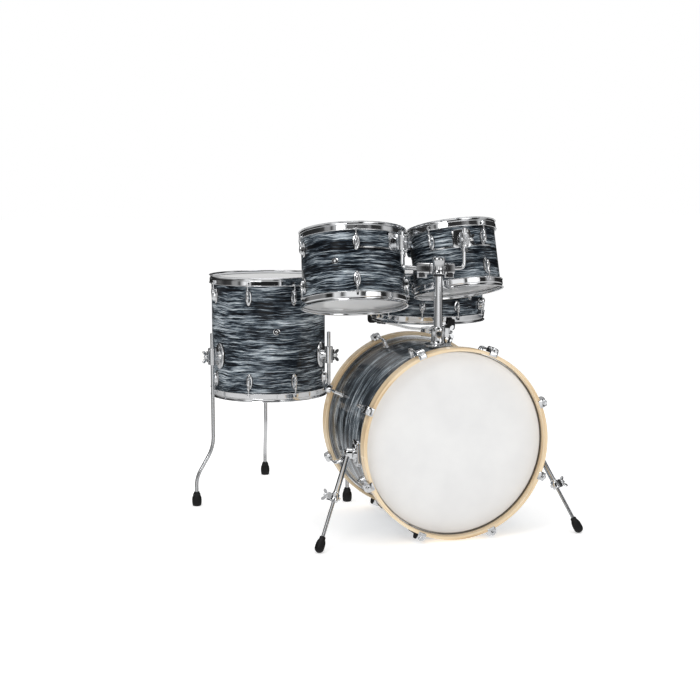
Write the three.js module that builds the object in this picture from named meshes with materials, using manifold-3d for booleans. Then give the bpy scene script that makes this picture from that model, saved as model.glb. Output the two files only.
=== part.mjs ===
// A five-piece acoustic drum kit: bass drum with two mounted toms, floor tom, snare drum and its stand.
// Millimetres, +Z up. The front head of the bass drum faces -Y and the drummer sits on the +Y side.
// Every drum is laid out in a frame of its own, with its axis along its local Z.
import * as THREE from "three";
import { mergeVertices } from "three/addons/utils/BufferGeometryUtils.js";
import Module from "manifold-3d";

const wasm = await Module();
wasm.setup();

// ---------- driving dimensions ----------
const INCH = 25.4;
const GAP = 0.3; // clearance kept between touching pieces
const ROUND = 30; // sides of a small drum's circle
const BASS_ROUND = 40; // sides of the bass drum's circle
const FLAT_DOWN = Math.PI / BASS_ROUND; // turns a flat of that circle to the bottom

const BASS = {
  radius: 10 * INCH,
  length: 456, // from hoop face to hoop face
  hoopOuter: 270,
  hoopInner: 259.5,
  hoopWidth: 38,
  recess: 26, // hoop face to drum head
  wall: 7,
  lugs: 8,
  frontCentreHeight: 273.2,
  tilt: 0.0087, // radians, front raised by the spurs
};
const TOM_LARGE = {
  diameter: 12 * INCH,
  depth: 8 * INCH,
  lugs: 5,
  firstLug: -101.6,
  centre: [-195, 375, 735],
  up: [0.036, 0.241, 0.97],
};
const TOM_SMALL = {
  diameter: 10 * INCH,
  depth: 7 * INCH,
  lugs: 5,
  firstLug: -139,
  centre: [107, 334, 763],
  up: [-0.05, 0.238, 0.97],
};
const FLOOR_TOM = {
  diameter: 14 * INCH,
  depth: 14 * INCH,
  lugs: 8,
  firstLug: -121.4,
  centre: [-385, 690, 516],
  legAngles: [201.5, 81.5, 321.5],
  legRadius: 208,
  footRadius: 270,
  legTop: 532,
  bendHeight: 174,
  ankleHeight: 88,
};
const SNARE = {
  diameter: 14 * INCH,
  depth: 5.5 * INCH,
  lugs: 10,
  firstLug: -113.9,
  centre: [145, 690, 630],
  strainerAngle: 192.1,
};
const POST = { x: 0, y: 172, radius: 12.7, top: 768, bottom: 452 };
const ARM_RADIUS = 6;
const ARM_HEIGHT = 748;
const ARM_LEFT = { start: [-11, 187], corner: [-86, 246], top: 852 };
const ARM_RIGHT = { start: [17, 175.6], corner: [82, 187], top: 862 };
const SPUR = {
  pivot: [279, 125, 240],
  leftFoot: [-401, -15],
  rightFoot: [367, -15],
  tubeLength: 150,
};
const STAND = { x: 145, y: 690, legReach: 232, armAngles: [-86, 42, 154], pivotHeight: 486 };

// ---------- looks ----------
const look = (color, roughness, metalness) => ({ color, roughness, metalness });
const WRAP = look(0x2a3240, 0.35, 0.1);
const CHROME = look(0xd8dade, 0.12, 1);
const STEEL = look(0xb9bcc0, 0.3, 1);
const MAPLE = look(0xc79a63, 0.4, 0);
const HEAD = look(0xf2f2f0, 0.55, 0);
const FILM = look(0xe2e4e6, 0.3, 0);
const RUBBER = look(0x1b1b1c, 0.85, 0);
const DARK = look(0x26272a, 0.5, 0.3);

// ---------- small helpers ----------
const DEG = Math.PI / 180;
const V = (x, y, z) => new THREE.Vector3(x, y, z);

function toSolid(geometry) {
  const g = geometry.clone();
  g.deleteAttribute("normal");
  g.deleteAttribute("uv");
  const merged = mergeVertices(g, 1e-4);
  let solid = new wasm.Manifold(
    new wasm.Mesh({
      numProp: 3,
      vertProperties: merged.attributes.position.array,
      triVerts: new Uint32Array(merged.index.array),
    }),
  );
  if (solid.volume() < 0) {
    const t = new Uint32Array(merged.index.array);
    for (let i = 0; i < t.length; i += 3) [t[i + 1], t[i + 2]] = [t[i + 2], t[i + 1]];
    solid = new wasm.Manifold(
      new wasm.Mesh({
        numProp: 3,
        vertProperties: merged.attributes.position.array,
        triVerts: t,
      }),
    );
  }
  return solid;
}

function toGeometry(solid) {
  const m = solid.getMesh();
  const v = new Float32Array(m.numVert * 3);
  for (let i = 0; i < m.numVert; i++)
    v.set(m.vertProperties.subarray(i * m.numProp, i * m.numProp + 3), i * 3);
  const g = new THREE.BufferGeometry();
  g.setAttribute("position", new THREE.BufferAttribute(v, 3));
  g.setIndex(new THREE.BufferAttribute(new Uint32Array(m.triVerts), 1));
  g.computeVertexNormals();
  return g;
}

const joined = (shapes, cuts = []) => {
  let s = toSolid(shapes[0]);
  for (const x of shapes.slice(1)) s = s.add(toSolid(x));
  for (const x of cuts) s = s.subtract(toSolid(x));
  return toGeometry(s);
};

// A closed profile of [radius, z] points turned round Z.
function turned(points, sides, offset = 0) {
  let area = 0;
  points.forEach(([r, z], i) => {
    const [r2, z2] = points[(i + 1) % points.length];
    area += r * z2 - r2 * z;
  });
  // the profile runs so that the surface faces outward
  let list = area < 0 ? [...points].reverse() : [...points];
  if (points[0][0] === 0) while (list[0][0] !== 0 || list.at(-1)[0] !== 0) list.push(list.shift());
  const closed = points[0][0] === 0 ? list : [...list, list[0]];
  const g = new THREE.LatheGeometry(
    closed.map(([r, z]) => new THREE.Vector2(r, z)),
    sides,
  );
  g.rotateX(Math.PI / 2);
  g.rotateZ(offset);
  return g;
}
// A round bar along Z from z0 to z1.
function bar(radius, z0, z1, sides = 10) {
  const g = new THREE.CylinderGeometry(radius, radius, z1 - z0, sides);
  g.rotateX(Math.PI / 2);
  g.translate(0, 0, (z0 + z1) / 2);
  return g;
}
function block(x0, x1, y0, y1, z0, z1) {
  const g = new THREE.BoxGeometry(x1 - x0, y1 - y0, z1 - z0);
  g.translate((x0 + x1) / 2, (y0 + y1) / 2, (z0 + z1) / 2);
  return g;
}
const moved = (g, x, y, z) => g.clone().translate(x, y, z);
const spun = (g, degrees) => g.clone().rotateZ(degrees * DEG);
// Turns a shape built along +Z so that it starts at p and runs towards q.
function along(g, p, q) {
  const m = new THREE.Matrix4().compose(
    p,
    new THREE.Quaternion().setFromUnitVectors(V(0, 0, 1), q.clone().sub(p).normalize()),
    V(1, 1, 1),
  );
  return g.clone().applyMatrix4(m);
}
const rod = (p, q, radius, sides = 10) => along(bar(radius, 0, p.distanceTo(q), sides), p, q);

// A frame whose Z axis is `up`, whose X axis stays as near +X as it can.
function frameOf(centre, up) {
  const z = V(...up).normalize();
  const y = z.clone().cross(V(1, 0, 0)).normalize();
  const x = y.clone().cross(z).normalize();
  const g = new THREE.Group();
  g.matrixAutoUpdate = true;
  g.position.set(...centre);
  g.quaternion.setFromRotationMatrix(new THREE.Matrix4().makeBasis(x, y, z));
  g.updateMatrixWorld(true);
  return g;
}

const kit = new THREE.Group();
function add(parent, name, geometry, l) {
  const mesh = new THREE.Mesh(
    geometry,
    new THREE.MeshStandardMaterial({
      color: l.color,
      roughness: l.roughness,
      metalness: l.metalness,
    }),
  );
  mesh.name = name;
  parent.add(mesh);
  return mesh;
}

// ---------- a small drum: shell, two heads, two triple-flanged hoops with their tension rods ----------
const HOOP_ABOVE = 12; // rim above the drum head
const HOOP_BELOW = 14; // flange below the bearing edge
const ROD_OFFSET = 9.5; // tension rod outside the shell

function head(R, z, side) {
  // a film over the bearing edge, with the flesh hoop round it
  const p = [
    [0, GAP],
    [R + 0.5, GAP],
    [R + 0.5, -8],
    [R + 2.7, -8],
    [R + 2.7, 1.4],
    [0, 1.4],
  ].map(([r, h]) => [r, z + side * h]);
  return turned(p, ROUND);
}

function hoop(R, z, side, lugs, first, rodEnd) {
  const ring = turned(
    [
      [R + 3.2, -HOOP_BELOW],
      [R + 6, -HOOP_BELOW],
      [R + 6, HOOP_ABOVE],
      [R + 1, HOOP_ABOVE],
      [R + 1, 1.9],
      [R + 3.2, 1.9],
    ].map(([r, h]) => [r, z + side * h]),
    ROUND,
  );
  const pieces = [ring];
  const lo = Math.min(z - side * (HOOP_BELOW - 3.5), z - side * HOOP_BELOW);
  for (let i = 0; i < lugs; i++) {
    const a = first + (i * 360) / lugs;
    pieces.push(spun(block(R + 4.5, R + 14.5, -7, 7, lo, lo + 3.5), a));
    const z0 = Math.min(z - side * (HOOP_BELOW - 6), rodEnd);
    const z1 = Math.max(z - side * (HOOP_BELOW - 6), rodEnd);
    pieces.push(spun(moved(bar(3, z0, z1, 4), R + ROD_OFFSET, 0, 0), a));
  }
  return joined(pieces);
}

function lugShape(R, z0, z1) {
  return block(R - 2, R + 15, -9.5, 9.5, z0, z1);
}

function smallDrum(group, prefix, d, lugSize, extras = [], cuts = [], bottomCuts = []) {
  const R = d.diameter / 2;
  const H = d.depth / 2;
  const shapes = [
    turned(
      [
        [R - 5, -H],
        [R, -H],
        [R, H],
        [R - 5, H],
      ],
      ROUND,
    ),
  ];
  const lugIn = 26; // bearing edge to the near end of the lug
  for (let i = 0; i < d.lugs; i++) {
    const a = d.firstLug + (i * 360) / d.lugs;
    shapes.push(spun(lugShape(R, H - lugIn - lugSize, H - lugIn), a));
    shapes.push(spun(lugShape(R, -H + lugIn, -H + lugIn + lugSize), a));
  }
  add(group, prefix + "_shell", joined([...shapes, ...extras], cuts), WRAP);
  add(group, prefix + "_batter_head", head(R, H, 1), HEAD);
  add(group, prefix + "_resonant_head", head(R, -H, -1), FILM);
  add(
    group,
    prefix + "_top_hoop",
    hoop(R, H, 1, d.lugs, d.firstLug, H - lugIn + GAP),
    CHROME,
  );
  add(
    group,
    prefix + "_bottom_hoop",
    hoop(R, -H, -1, d.lugs, d.firstLug, -H + lugIn - GAP),
    CHROME,
  );
}

// ---------- bass drum ----------
// Local frame: Z towards the front, Y up. The front hoop's face is at local z 0.
const bass = new THREE.Group();
bass.position.set(0, 0, BASS.frontCentreHeight);
bass.rotation.x = Math.PI / 2 - BASS.tilt;
kit.add(bass);
bass.updateMatrixWorld(true);
const bassMatrix = bass.matrixWorld.clone();
const shellFront = -BASS.recess - GAP - 1.2;
const shellRear = -(BASS.length - BASS.recess - GAP - 1.2);
{
  const R = BASS.radius;
  const shapes = [
    turned(
      [
        [R - BASS.wall, shellRear],
        [R, shellRear],
        [R, shellFront],
        [R - BASS.wall, shellFront],
      ],
      BASS_ROUND,
      FLAT_DOWN,
    ),
  ];
  const angles = [...Array(BASS.lugs).keys()].map((i) => 22.5 + i * 45);
  const lug = (z0, z1) => block(R - 2, R + 28, -9, 9, z0, z1);
  for (const a of angles) {
    shapes.push(spun(lug(-118, -82), a));
    shapes.push(spun(lug(-(BASS.length - 82), -(BASS.length - 118)), a));
  }
  // hole for the tom post, through the top
  const hole = bar(15.5, 0, 300, 20);
  hole.rotateX(-Math.PI / 2);
  hole.translate(0, 0, -170);
  add(bass, "bass_shell", joined(shapes, [hole]), WRAP);

  const bassHead = (z, side) =>
    turned(
      [
        [0, 0],
        [R + 4.3, 0],
        [R + 4.3, -11],
        [R + 0.6, -11],
        [R + 0.6, -1.2],
        [0, -1.2],
      ].map(([r, h]) => [r, z + side * h]),
      BASS_ROUND,
      FLAT_DOWN,
    );
  add(bass, "bass_front_head", bassHead(-BASS.recess, 1), HEAD);
  add(bass, "bass_rear_head", bassHead(-(BASS.length - BASS.recess), -1), HEAD);

  // wooden hoops, each with its eight claws and T rods
  const hoopWithClaws = (z, side) => {
    const pieces = [
      turned(
        [
          [BASS.hoopInner, 0],
          [BASS.hoopOuter, 0],
          [BASS.hoopOuter, -BASS.hoopWidth],
          [BASS.hoopInner, -BASS.hoopWidth],
        ].map(([r, h]) => [r, z + side * h]),
        BASS_ROUND,
        FLAT_DOWN,
      ),
    ];
    const span = (a, b) => [Math.min(z + side * a, z + side * b), Math.max(z + side * a, z + side * b)];
    const claw = (outline) => {
      const g = new THREE.ExtrudeGeometry(
        new THREE.Shape(outline.map(([r, h]) => new THREE.Vector2(r, h))),
        { depth: 20, bevelEnabled: false },
      );
      g.rotateX(Math.PI / 2);
      g.translate(0, 10, 0);
      return g;
    };
    for (const a of angles) {
      const [r0, r1] = span(-20, -82 + GAP);
      // the claw hooks over the hoop's face and runs back along it to an ear for the rod
      const outline = [[262, 2.5], [274, 2.5], [284, -14], [284, -32], [268, -35], [268, -6], [262, -6]];
      pieces.push(spun(claw(outline.map(([r, h]) => [r, z + side * h])), a));
      pieces.push(spun(moved(bar(3.6, r0, r1, 4), 278, 0, 0), a));
    }
    return joined(pieces);
  };
  add(bass, "bass_front_hoop", hoopWithClaws(0, 1), MAPLE);
  add(bass, "bass_rear_hoop", hoopWithClaws(-BASS.length, -1), MAPLE);
}
// a clearance solid of the shell, used to seat what is bolted to it
const bassSeat = turned(
  [
    [0, -BASS.length],
    [BASS.radius + GAP, -BASS.length],
    [BASS.radius + GAP, 0],
    [0, 0],
  ],
  96,
).applyMatrix4(bassMatrix);

// ---------- spurs ----------
for (const [side, name, foot] of [
  [-1, "left", SPUR.leftFoot],
  [1, "right", SPUR.rightFoot],
]) {
  const p = V(side * SPUR.pivot[0], SPUR.pivot[1], SPUR.pivot[2]);
  const q = V(foot[0], foot[1], 6);
  const dir = q.clone().sub(p).normalize();
  const length = p.distanceTo(q);
  // the pivot's axis is the one nearest the shell's normal that folds the spur back along the shell
  const folded = V(side * 0.12, 0.99, -0.02).normalize();
  const k = dir.clone().sub(folded).normalize();
  const axis = V(side, 0, 0);
  axis.addScaledVector(k, -axis.dot(k)).normalize();
  // bracket: a plate on the shell with a boss towards the spur
  const plate = block(-7, 7, -24, 24, -36, 36).translate(
    side * BASS.radius,
    SPUR.pivot[1],
    SPUR.pivot[2],
  );
  const boss = rod(p.clone().addScaledVector(axis, -34), p.clone().addScaledVector(axis, -11), 16, 14);
  add(kit, "spur_bracket_" + name, joined([plate, boss], [bassSeat]), CHROME);
  // outer tube with its round pivot end; it has a blind bore for the rod
  const start = p;
  const tubeEnd = start.clone().addScaledVector(dir, SPUR.tubeLength);
  const hub = rod(p.clone().addScaledVector(axis, -10.6), p.clone().addScaledVector(axis, 11), 15, 14);
  const tube = rod(start, tubeEnd, 8, 12);
  const collar = rod(start.clone().addScaledVector(dir, SPUR.tubeLength - 22), tubeEnd, 11, 12);
  const bore = rod(
    start.clone().addScaledVector(dir, 24),
    tubeEnd.clone().addScaledVector(dir, 5),
    5.6,
    12,
  );
  add(kit, "spur_tube_" + name, joined([hub, tube, collar], [bore]), CHROME);
  // inner rod down to the rubber foot
  const rodStart = start.clone().addScaledVector(dir, SPUR.tubeLength - 45);
  const rodEnd = start.clone().addScaledVector(dir, length - 34);
  add(kit, "spur_rod_" + name, rod(rodStart, rodEnd, 4.8, 10), STEEL);
  // foot: a rubber cap on the rod's end, flattened where it meets the floor
  const capTop = start.clone().addScaledVector(dir, length - 34 + GAP);
  const capEnd = start.clone().addScaledVector(dir, length + 12);
  const floorCut = block(-900, 900, -900, 900, -60, 0);
  add(kit, "spur_foot_" + name, joined([rod(capTop, capEnd, 13.5, 12)], [floorCut]), RUBBER);
  // wing screw in the collar, on the outer side
  const out = V(side, 0, 0).addScaledVector(dir, -dir.x * side).normalize();
  const c = start.clone().addScaledVector(dir, SPUR.tubeLength - 11);
  const s0 = c.clone().addScaledVector(out, 11 + GAP);
  const s1 = c.clone().addScaledVector(out, 22);
  const wing = along(block(-14, 14, -2, 2, 0, 12), s1.clone().addScaledVector(out, -3), s1.clone().addScaledVector(out, 10));
  add(kit, "spur_wing_screw_" + name, joined([rod(s0, s1, 4, 8), wing]), CHROME);
}

// ---------- tom holder ----------
{
  const { x, y, radius } = POST;
  const postBore = moved(bar(radius + 0.8, 427, 1000, 20), x, y, 0);
  // saddle and socket on top of the bass drum
  const saddle = block(x - 34, x + 34, y - 40, y + 40, 506, 536);
  const socket = moved(bar(21, 520, 583, 18), x, y, 0);
  // closed receiver tube that takes the post's lower end inside the drum
  const receiver = moved(bar(14.8, 424, 530, 20), x, y, 0);
  const base = joined([joined([saddle, socket], [bassSeat]), receiver], [postBore]);
  add(kit, "tom_mount_base", base, CHROME);
  const s = V(x + 21 + GAP, y, 566);
  add(
    kit,
    "tom_mount_wing_screw",
    joined([
      rod(s, V(x + 34, y, 566), 4, 8),
      block(x + 32, x + 44, y - 15, y + 15, 563.5, 568.5),
    ]),
    CHROME,
  );
  add(kit, "tom_post", moved(bar(radius, POST.bottom, POST.top, 18), x, y, 0), CHROME);

  // head on the post, with a clamp block each side
  const armLine = (arm) => {
    const p = V(arm.start[0], arm.start[1], ARM_HEIGHT);
    const q = V(arm.corner[0], arm.corner[1], ARM_HEIGHT);
    return [p, q, q.clone().sub(p).normalize()];
  };
  const bodies = [moved(bar(20, 734, 781, 18), x, y, 0)];
  const cuts = [moved(bar(radius + 0.8, 700, POST.top + 0.6, 20), x, y, 0)];
  for (const arm of [ARM_LEFT, ARM_RIGHT]) {
    const [p, q, d] = armLine(arm);
    const reach = arm === ARM_LEFT ? 62 : 46;
    const c = V(x, y, ARM_HEIGHT);
    const start = c.clone().addScaledVector(d, 8);
    bodies.push(along(block(-16, 16, -14, 14, 0, reach - 8), start, q.clone().setZ(ARM_HEIGHT)));
    const b0 = c.clone().addScaledVector(d, 20 + 6);
    cuts.push(rod(b0, q.clone().addScaledVector(d, 30), ARM_RADIUS + 0.9, 16));
  }
  add(kit, "tom_holder_head", joined(bodies, cuts), CHROME);

  for (const [arm, name] of [
    [ARM_LEFT, "left"],
    [ARM_RIGHT, "right"],
  ]) {
    const [, q, d] = armLine(arm);
    const p = V(x, y, ARM_HEIGHT).addScaledVector(d, 20 + 7);
    const top = V(q.x, q.y, arm.top);
    const elbow = new THREE.SphereGeometry(ARM_RADIUS, 8, 6);
    elbow.translate(q.x, q.y, q.z);
    add(
      kit,
      "tom_arm_" + name,
      joined([rod(p, q, ARM_RADIUS, 10), rod(q, top, ARM_RADIUS, 10), elbow]),
      CHROME,
    );
  }
}

// ---------- mounted toms ----------
for (const [tom, prefix, arm] of [
  [TOM_LARGE, "tom_large", ARM_LEFT],
  [TOM_SMALL, "tom_small", ARM_RIGHT],
]) {
  const g = frameOf(tom.centre, tom.up);
  kit.add(g);
  smallDrum(g, prefix, tom, 42);
  // bracket between the shell and the upright of the arm
  const seat = bar(tom.diameter / 2 + GAP + 0.2, -tom.depth, tom.depth, 72).applyMatrix4(g.matrixWorld);
  const r = V(arm.corner[0], arm.corner[1], 0);
  const zc = arm.top - 32;
  const k = (zc - tom.centre[2]) / tom.up[2];
  const c = V(tom.centre[0] + tom.up[0] * k, tom.centre[1] + tom.up[1] * k, 0);
  const d = c.clone().sub(r).normalize();
  const from = V(r.x, r.y, zc).addScaledVector(d, -13);
  const reach = c.distanceTo(r) - tom.diameter / 2 + 13 + 12;
  const body = along(block(-20, 20, -14, 14, 0, reach), from, from.clone().add(d));
  const bore = moved(bar(ARM_RADIUS + 0.9, zc - 60, zc + 60, 16), r.x, r.y, 0);
  add(kit, prefix + "_bracket", joined([body], [seat, bore]), CHROME);
}

// ---------- floor tom ----------
{
  const g = new THREE.Group();
  g.position.set(...FLOOR_TOM.centre);
  kit.add(g);
  const zc = FLOOR_TOM.centre[2];
  const R = FLOOR_TOM.diameter / 2;
  const L = FLOOR_TOM.legRadius;
  const blocks = [];
  const bores = [];
  for (const a of FLOOR_TOM.legAngles) {
    blocks.push(spun(block(R - 2, R + 6, -22, 22, 418 - zc, 501 - zc), a));
    blocks.push(spun(block(R, L + 10, -13, 13, 436 - zc, 484 - zc), a));
    bores.push(spun(moved(bar(6.5, -300, 300, 14), L, 0, 0), a));
  }
  smallDrum(g, "floor_tom", FLOOR_TOM, 44, blocks, bores);
  FLOOR_TOM.legAngles.forEach((a, i) => {
    const n = i + 1;
    const top = FLOOR_TOM.legTop - zc;
    const bend = FLOOR_TOM.bendHeight - zc;
    // straight down, out at a slant, and down again into the foot
    const F = FLOOR_TOM.footRadius;
    const knee = V(L, 0, bend);
    const ankle = V(F, 0, FLOOR_TOM.ankleHeight - zc);
    const ball = (p) => new THREE.SphereGeometry(5.6, 8, 6).translate(p.x, p.y, p.z);
    const leg = joined([
      moved(bar(5.5, bend, top, 8), L, 0, 0),
      ball(knee),
      rod(knee, ankle, 5.5, 8),
      ball(ankle),
      moved(bar(5.5, 44 + GAP - zc, FLOOR_TOM.ankleHeight - zc, 8), F, 0, 0),
    ]);
    add(g, "floor_tom_leg_" + n, spun(leg, a), CHROME);
    const foot = moved(
      turned([[0, 0], [13, 0], [15, 12], [13, 34], [9, 44], [0, 44]], 14),
      F,
      0,
      -zc,
    );
    add(g, "floor_tom_foot_" + n, spun(foot, a), RUBBER);
    const wing = joined([
      rod(V(L + 10 + GAP, 0, 460 - zc), V(L + 20, 0, 460 - zc), 4, 8),
      block(L + 18, L + 30, -2.5, 2.5, 444 - zc, 476 - zc),
    ]);
    add(g, "floor_tom_wing_screw_" + n, spun(wing, a), CHROME);
  });
}

// ---------- snare drum ----------
{
  const g = new THREE.Group();
  g.position.set(...SNARE.centre);
  kit.add(g);
  const R = SNARE.diameter / 2;
  const H = SNARE.depth / 2;
  smallDrum(g, "snare", SNARE, 34);
  const a = SNARE.strainerAngle;
  // strainer body, seated on the shell, with a fork for the lever at its foot
  const seat = bar(R + GAP + 0.2, -100, 100, 72);
  const strainer = joined(
    [block(R - 4, R + 20, -14, 14, -34, 26), block(R + 9, R + 20, -13, 13, -68, -30), block(R + 15, R + 26, -14, -9, -38, -24), block(R + 15, R + 26, 9, 14, -38, -24)],
    [seat],
  );
  add(g, "snare_strainer", spun(strainer, a), CHROME);
  // throw-off lever, hinged low in the fork, upright when the wires are on
  const lever = joined([
    (() => {
      const b = rod(V(R + 26, -8.4, -31), V(R + 26, 8.4, -31), 4.8, 12);
      return b;
    })(),
    block(R + 22.4, R + 28, -8.4, 8.4, -31, 34),
  ]);
  add(g, "snare_throw_off_lever", spun(lever, a), CHROME);
  // butt plate on the far side
  const butt = joined([block(R - 4, R + 14, -15, 15, -36, -6)], [seat]);
  add(g, "snare_butt_plate", spun(butt, a - 180), CHROME);
  // snare wires under the resonant head
  const wires = joined([
    block(-150, 150, -20, 20, -H - 4.2, -H - 2.2),
    block(-162, -146, -21, 21, -H - 4.8, -H - 2),
    block(146, 162, -21, 21, -H - 4.8, -H - 2),
  ]);
  add(g, "snare_wires", spun(wires, a), STEEL);
}

// ---------- snare stand ----------
{
  const g = new THREE.Group();
  g.position.set(STAND.x, STAND.y, 0);
  kit.add(g);
  const reach = STAND.legReach;
  const parts = [bar(12.7, 66, 330, 12), bar(18, 226, 262, 12), bar(18, 60, 84, 12), bar(16.5, 312, 338, 12)];
  for (const a of [90, 210, 330]) {
    parts.push(spun(rod(V(14, 0, 246), V(reach, 0, 12), 6.5, 6), a));
    parts.push(spun(rod(V(14, 0, 72), V(reach * 0.56, 0, 116), 4.5, 6), a));
    parts.push(spun(moved(bar(11, 0, 22, 8), reach, 0, 0), a));
  }
  add(g, "snare_stand_tripod", joined(parts, [bar(10.6, 40, 400, 12)]), CHROME);
  // upper tube and the fork of the tilter
  const P = STAND.pivotHeight;
  const post = joined(
    [
      bar(9.5, 150, P - 22, 12),
      block(-19, 19, -13, 13, P - 32, P - 17),
      block(-19, -13, -13, 13, P - 20, P + 12),
      block(13, 19, -13, 13, P - 20, P + 12),
    ],
  );
  add(g, "snare_stand_post", post, CHROME);
  // basket: tongue in the fork, hub, and three arms with turned-up ends
  const tongue = rod(V(-12.4, 0, P), V(12.4, 0, P), 12, 16);
  const basket = [tongue, block(-12.4, 12.4, -9, 9, P, P + 26), bar(22, P + 18, P + 34, 14)];
  const hoopBottom = SNARE.centre[2] - SNARE.depth / 2 - HOOP_ABOVE;
  const Rh = SNARE.diameter / 2 + 6;
  for (const a of STAND.armAngles) {
    basket.push(spun(rod(V(10, 0, P + 26), V(Rh - 2, 0, hoopBottom - 9), 6, 8), a));
    basket.push(spun(block(Rh - 22, Rh + 14, -11, 11, hoopBottom - 16, hoopBottom - GAP), a));
    basket.push(spun(block(Rh + 1, Rh + 14, -11, 11, hoopBottom - 16, hoopBottom + 18), a));
  }
  add(g, "snare_stand_basket", joined(basket), CHROME);
}

// ---------- the kit stands on z 0, centred over the origin ----------
kit.updateMatrixWorld(true);
const bounds = new THREE.Box3().setFromObject(kit, true);
kit.position.set(
  -(bounds.min.x + bounds.max.x) / 2,
  -(bounds.min.y + bounds.max.y) / 2,
  -bounds.min.z,
);
kit.name = "drum_kit";

const group = new THREE.Group();
group.add(kit);
export default group;
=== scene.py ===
import math

import bmesh
import bpy
from mathutils import Matrix, Vector


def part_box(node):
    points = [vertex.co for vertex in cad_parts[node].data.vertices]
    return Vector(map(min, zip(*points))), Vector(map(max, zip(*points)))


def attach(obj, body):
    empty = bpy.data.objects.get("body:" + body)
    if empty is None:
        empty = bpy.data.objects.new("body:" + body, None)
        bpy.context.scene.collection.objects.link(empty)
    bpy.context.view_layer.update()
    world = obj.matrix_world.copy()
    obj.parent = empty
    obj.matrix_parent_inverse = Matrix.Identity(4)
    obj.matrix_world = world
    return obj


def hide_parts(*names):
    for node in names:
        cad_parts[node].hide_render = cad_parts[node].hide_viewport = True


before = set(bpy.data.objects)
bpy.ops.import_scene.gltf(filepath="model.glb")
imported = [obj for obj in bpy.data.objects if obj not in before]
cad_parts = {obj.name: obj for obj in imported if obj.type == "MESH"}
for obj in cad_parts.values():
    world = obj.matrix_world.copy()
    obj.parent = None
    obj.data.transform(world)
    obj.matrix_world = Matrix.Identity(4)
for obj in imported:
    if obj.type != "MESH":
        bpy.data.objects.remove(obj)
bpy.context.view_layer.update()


MM = 0.001
lo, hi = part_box("tom_post")
OFF = Vector(((lo[0] + hi[0]) / 2 * 1000, (lo[1] + hi[1]) / 2 * 1000 - 172, 0))

# ------------------------------------------------------------------ camera, light, floor
scene = bpy.context.scene
cam_data = bpy.data.cameras.new("camera")
cam_data.lens = 66.857
cam_data.sensor_width = 36
cam_data.clip_start = 0.05
cam_data.clip_end = 100
cam = bpy.data.objects.new("camera", cam_data)
scene.collection.objects.link(cam)
right = Vector((0.96384, -0.26648, 0)).normalized()
ground = Vector((0.26648, 0.96384, 0)).normalized()
pitch = math.radians(7.443)
fwd = ground * math.cos(pitch) + Vector((0, 0, -1)) * math.sin(pitch)
up = right.cross(fwd)
m = Matrix((right, up, -fwd)).transposed().to_4x4()
m.translation = (Vector((-1226.0, -3318.1, 997.65)) + OFF) * MM
cam.matrix_world = m
scene.camera = cam
scene.view_settings.view_transform = "Standard"
scene.view_settings.look = "None"
scene.view_settings.exposure = 0.0


def area(name, loc, target, size, power, color=(1, 1, 1)):
    d = bpy.data.lights.new(name, "AREA")
    d.shape = "RECTANGLE"
    d.size, d.size_y = size
    d.energy = power
    d.color = color
    o = bpy.data.objects.new(name, d)
    scene.collection.objects.link(o)
    o.location = loc
    o.rotation_euler = (Vector(target) - Vector(loc)).to_track_quat("-Z", "Y").to_euler()
    return o


area("key", (-2.6, -2.8, 3.4), (0, 0, 0.4), (1.6, 1.2), 34)
area("fill", (1.6, -3.6, 0.9), (0.1, 0, 0.3), (2.2, 1.0), 7)
area("top", (0.2, 0.5, 3.6), (0, 0, 0.0), (2.4, 1.6), 22)

world = bpy.data.worlds.new("studio")
scene.world = world
world.use_nodes = True
wn = world.node_tree
wn.nodes.clear()
w_out = wn.nodes.new("ShaderNodeOutputWorld")
w_mix = wn.nodes.new("ShaderNodeMixShader")
w_path = wn.nodes.new("ShaderNodeLightPath")
w_white = wn.nodes.new("ShaderNodeBackground")
w_white.inputs[0].default_value = (1, 1, 1, 1)
w_white.inputs[1].default_value = 0.62
w_env = wn.nodes.new("ShaderNodeBackground")
w_env.inputs[1].default_value = 1.0
w_tc = wn.nodes.new("ShaderNodeTexCoord")
w_sep = wn.nodes.new("ShaderNodeSeparateXYZ")
wn.links.new(w_tc.outputs["Generated"], w_sep.inputs[0])
# what polished metal sees: a white sweep low down, dark flags in front and behind, soft boxes to each side


def w_math(op, a, b=0.0, c=0.0):
    n = wn.nodes.new("ShaderNodeMath")
    n.operation = op
    for k, v in enumerate((a, b, c)):
        if isinstance(v, bpy.types.NodeSocket):
            wn.links.new(v, n.inputs[k])
        else:
            n.inputs[k].default_value = v
    return n.outputs[0]


def w_ramp(fac, stops):
    n = wn.nodes.new("ShaderNodeValToRGB")
    wn.links.new(fac, n.inputs[0])
    e = n.color_ramp.elements
    while len(e) > 1:
        e.remove(e[-1])
    for i, (p, v) in enumerate(stops):
        q = e[0] if i == 0 else e.new(p)
        q.position = p
        q.color = (v, v, v, 1)
    return n.outputs[0]


w_z = w_math("MULTIPLY_ADD", w_sep.outputs[2], 0.5, 0.5)
w_a = w_math("MULTIPLY_ADD", w_math("ARCTAN2", w_sep.outputs[1], w_sep.outputs[0]), 0.5 / math.pi, 0.5)


def turn_at(deg):
    return (deg + 180.0) / 360.0


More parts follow.
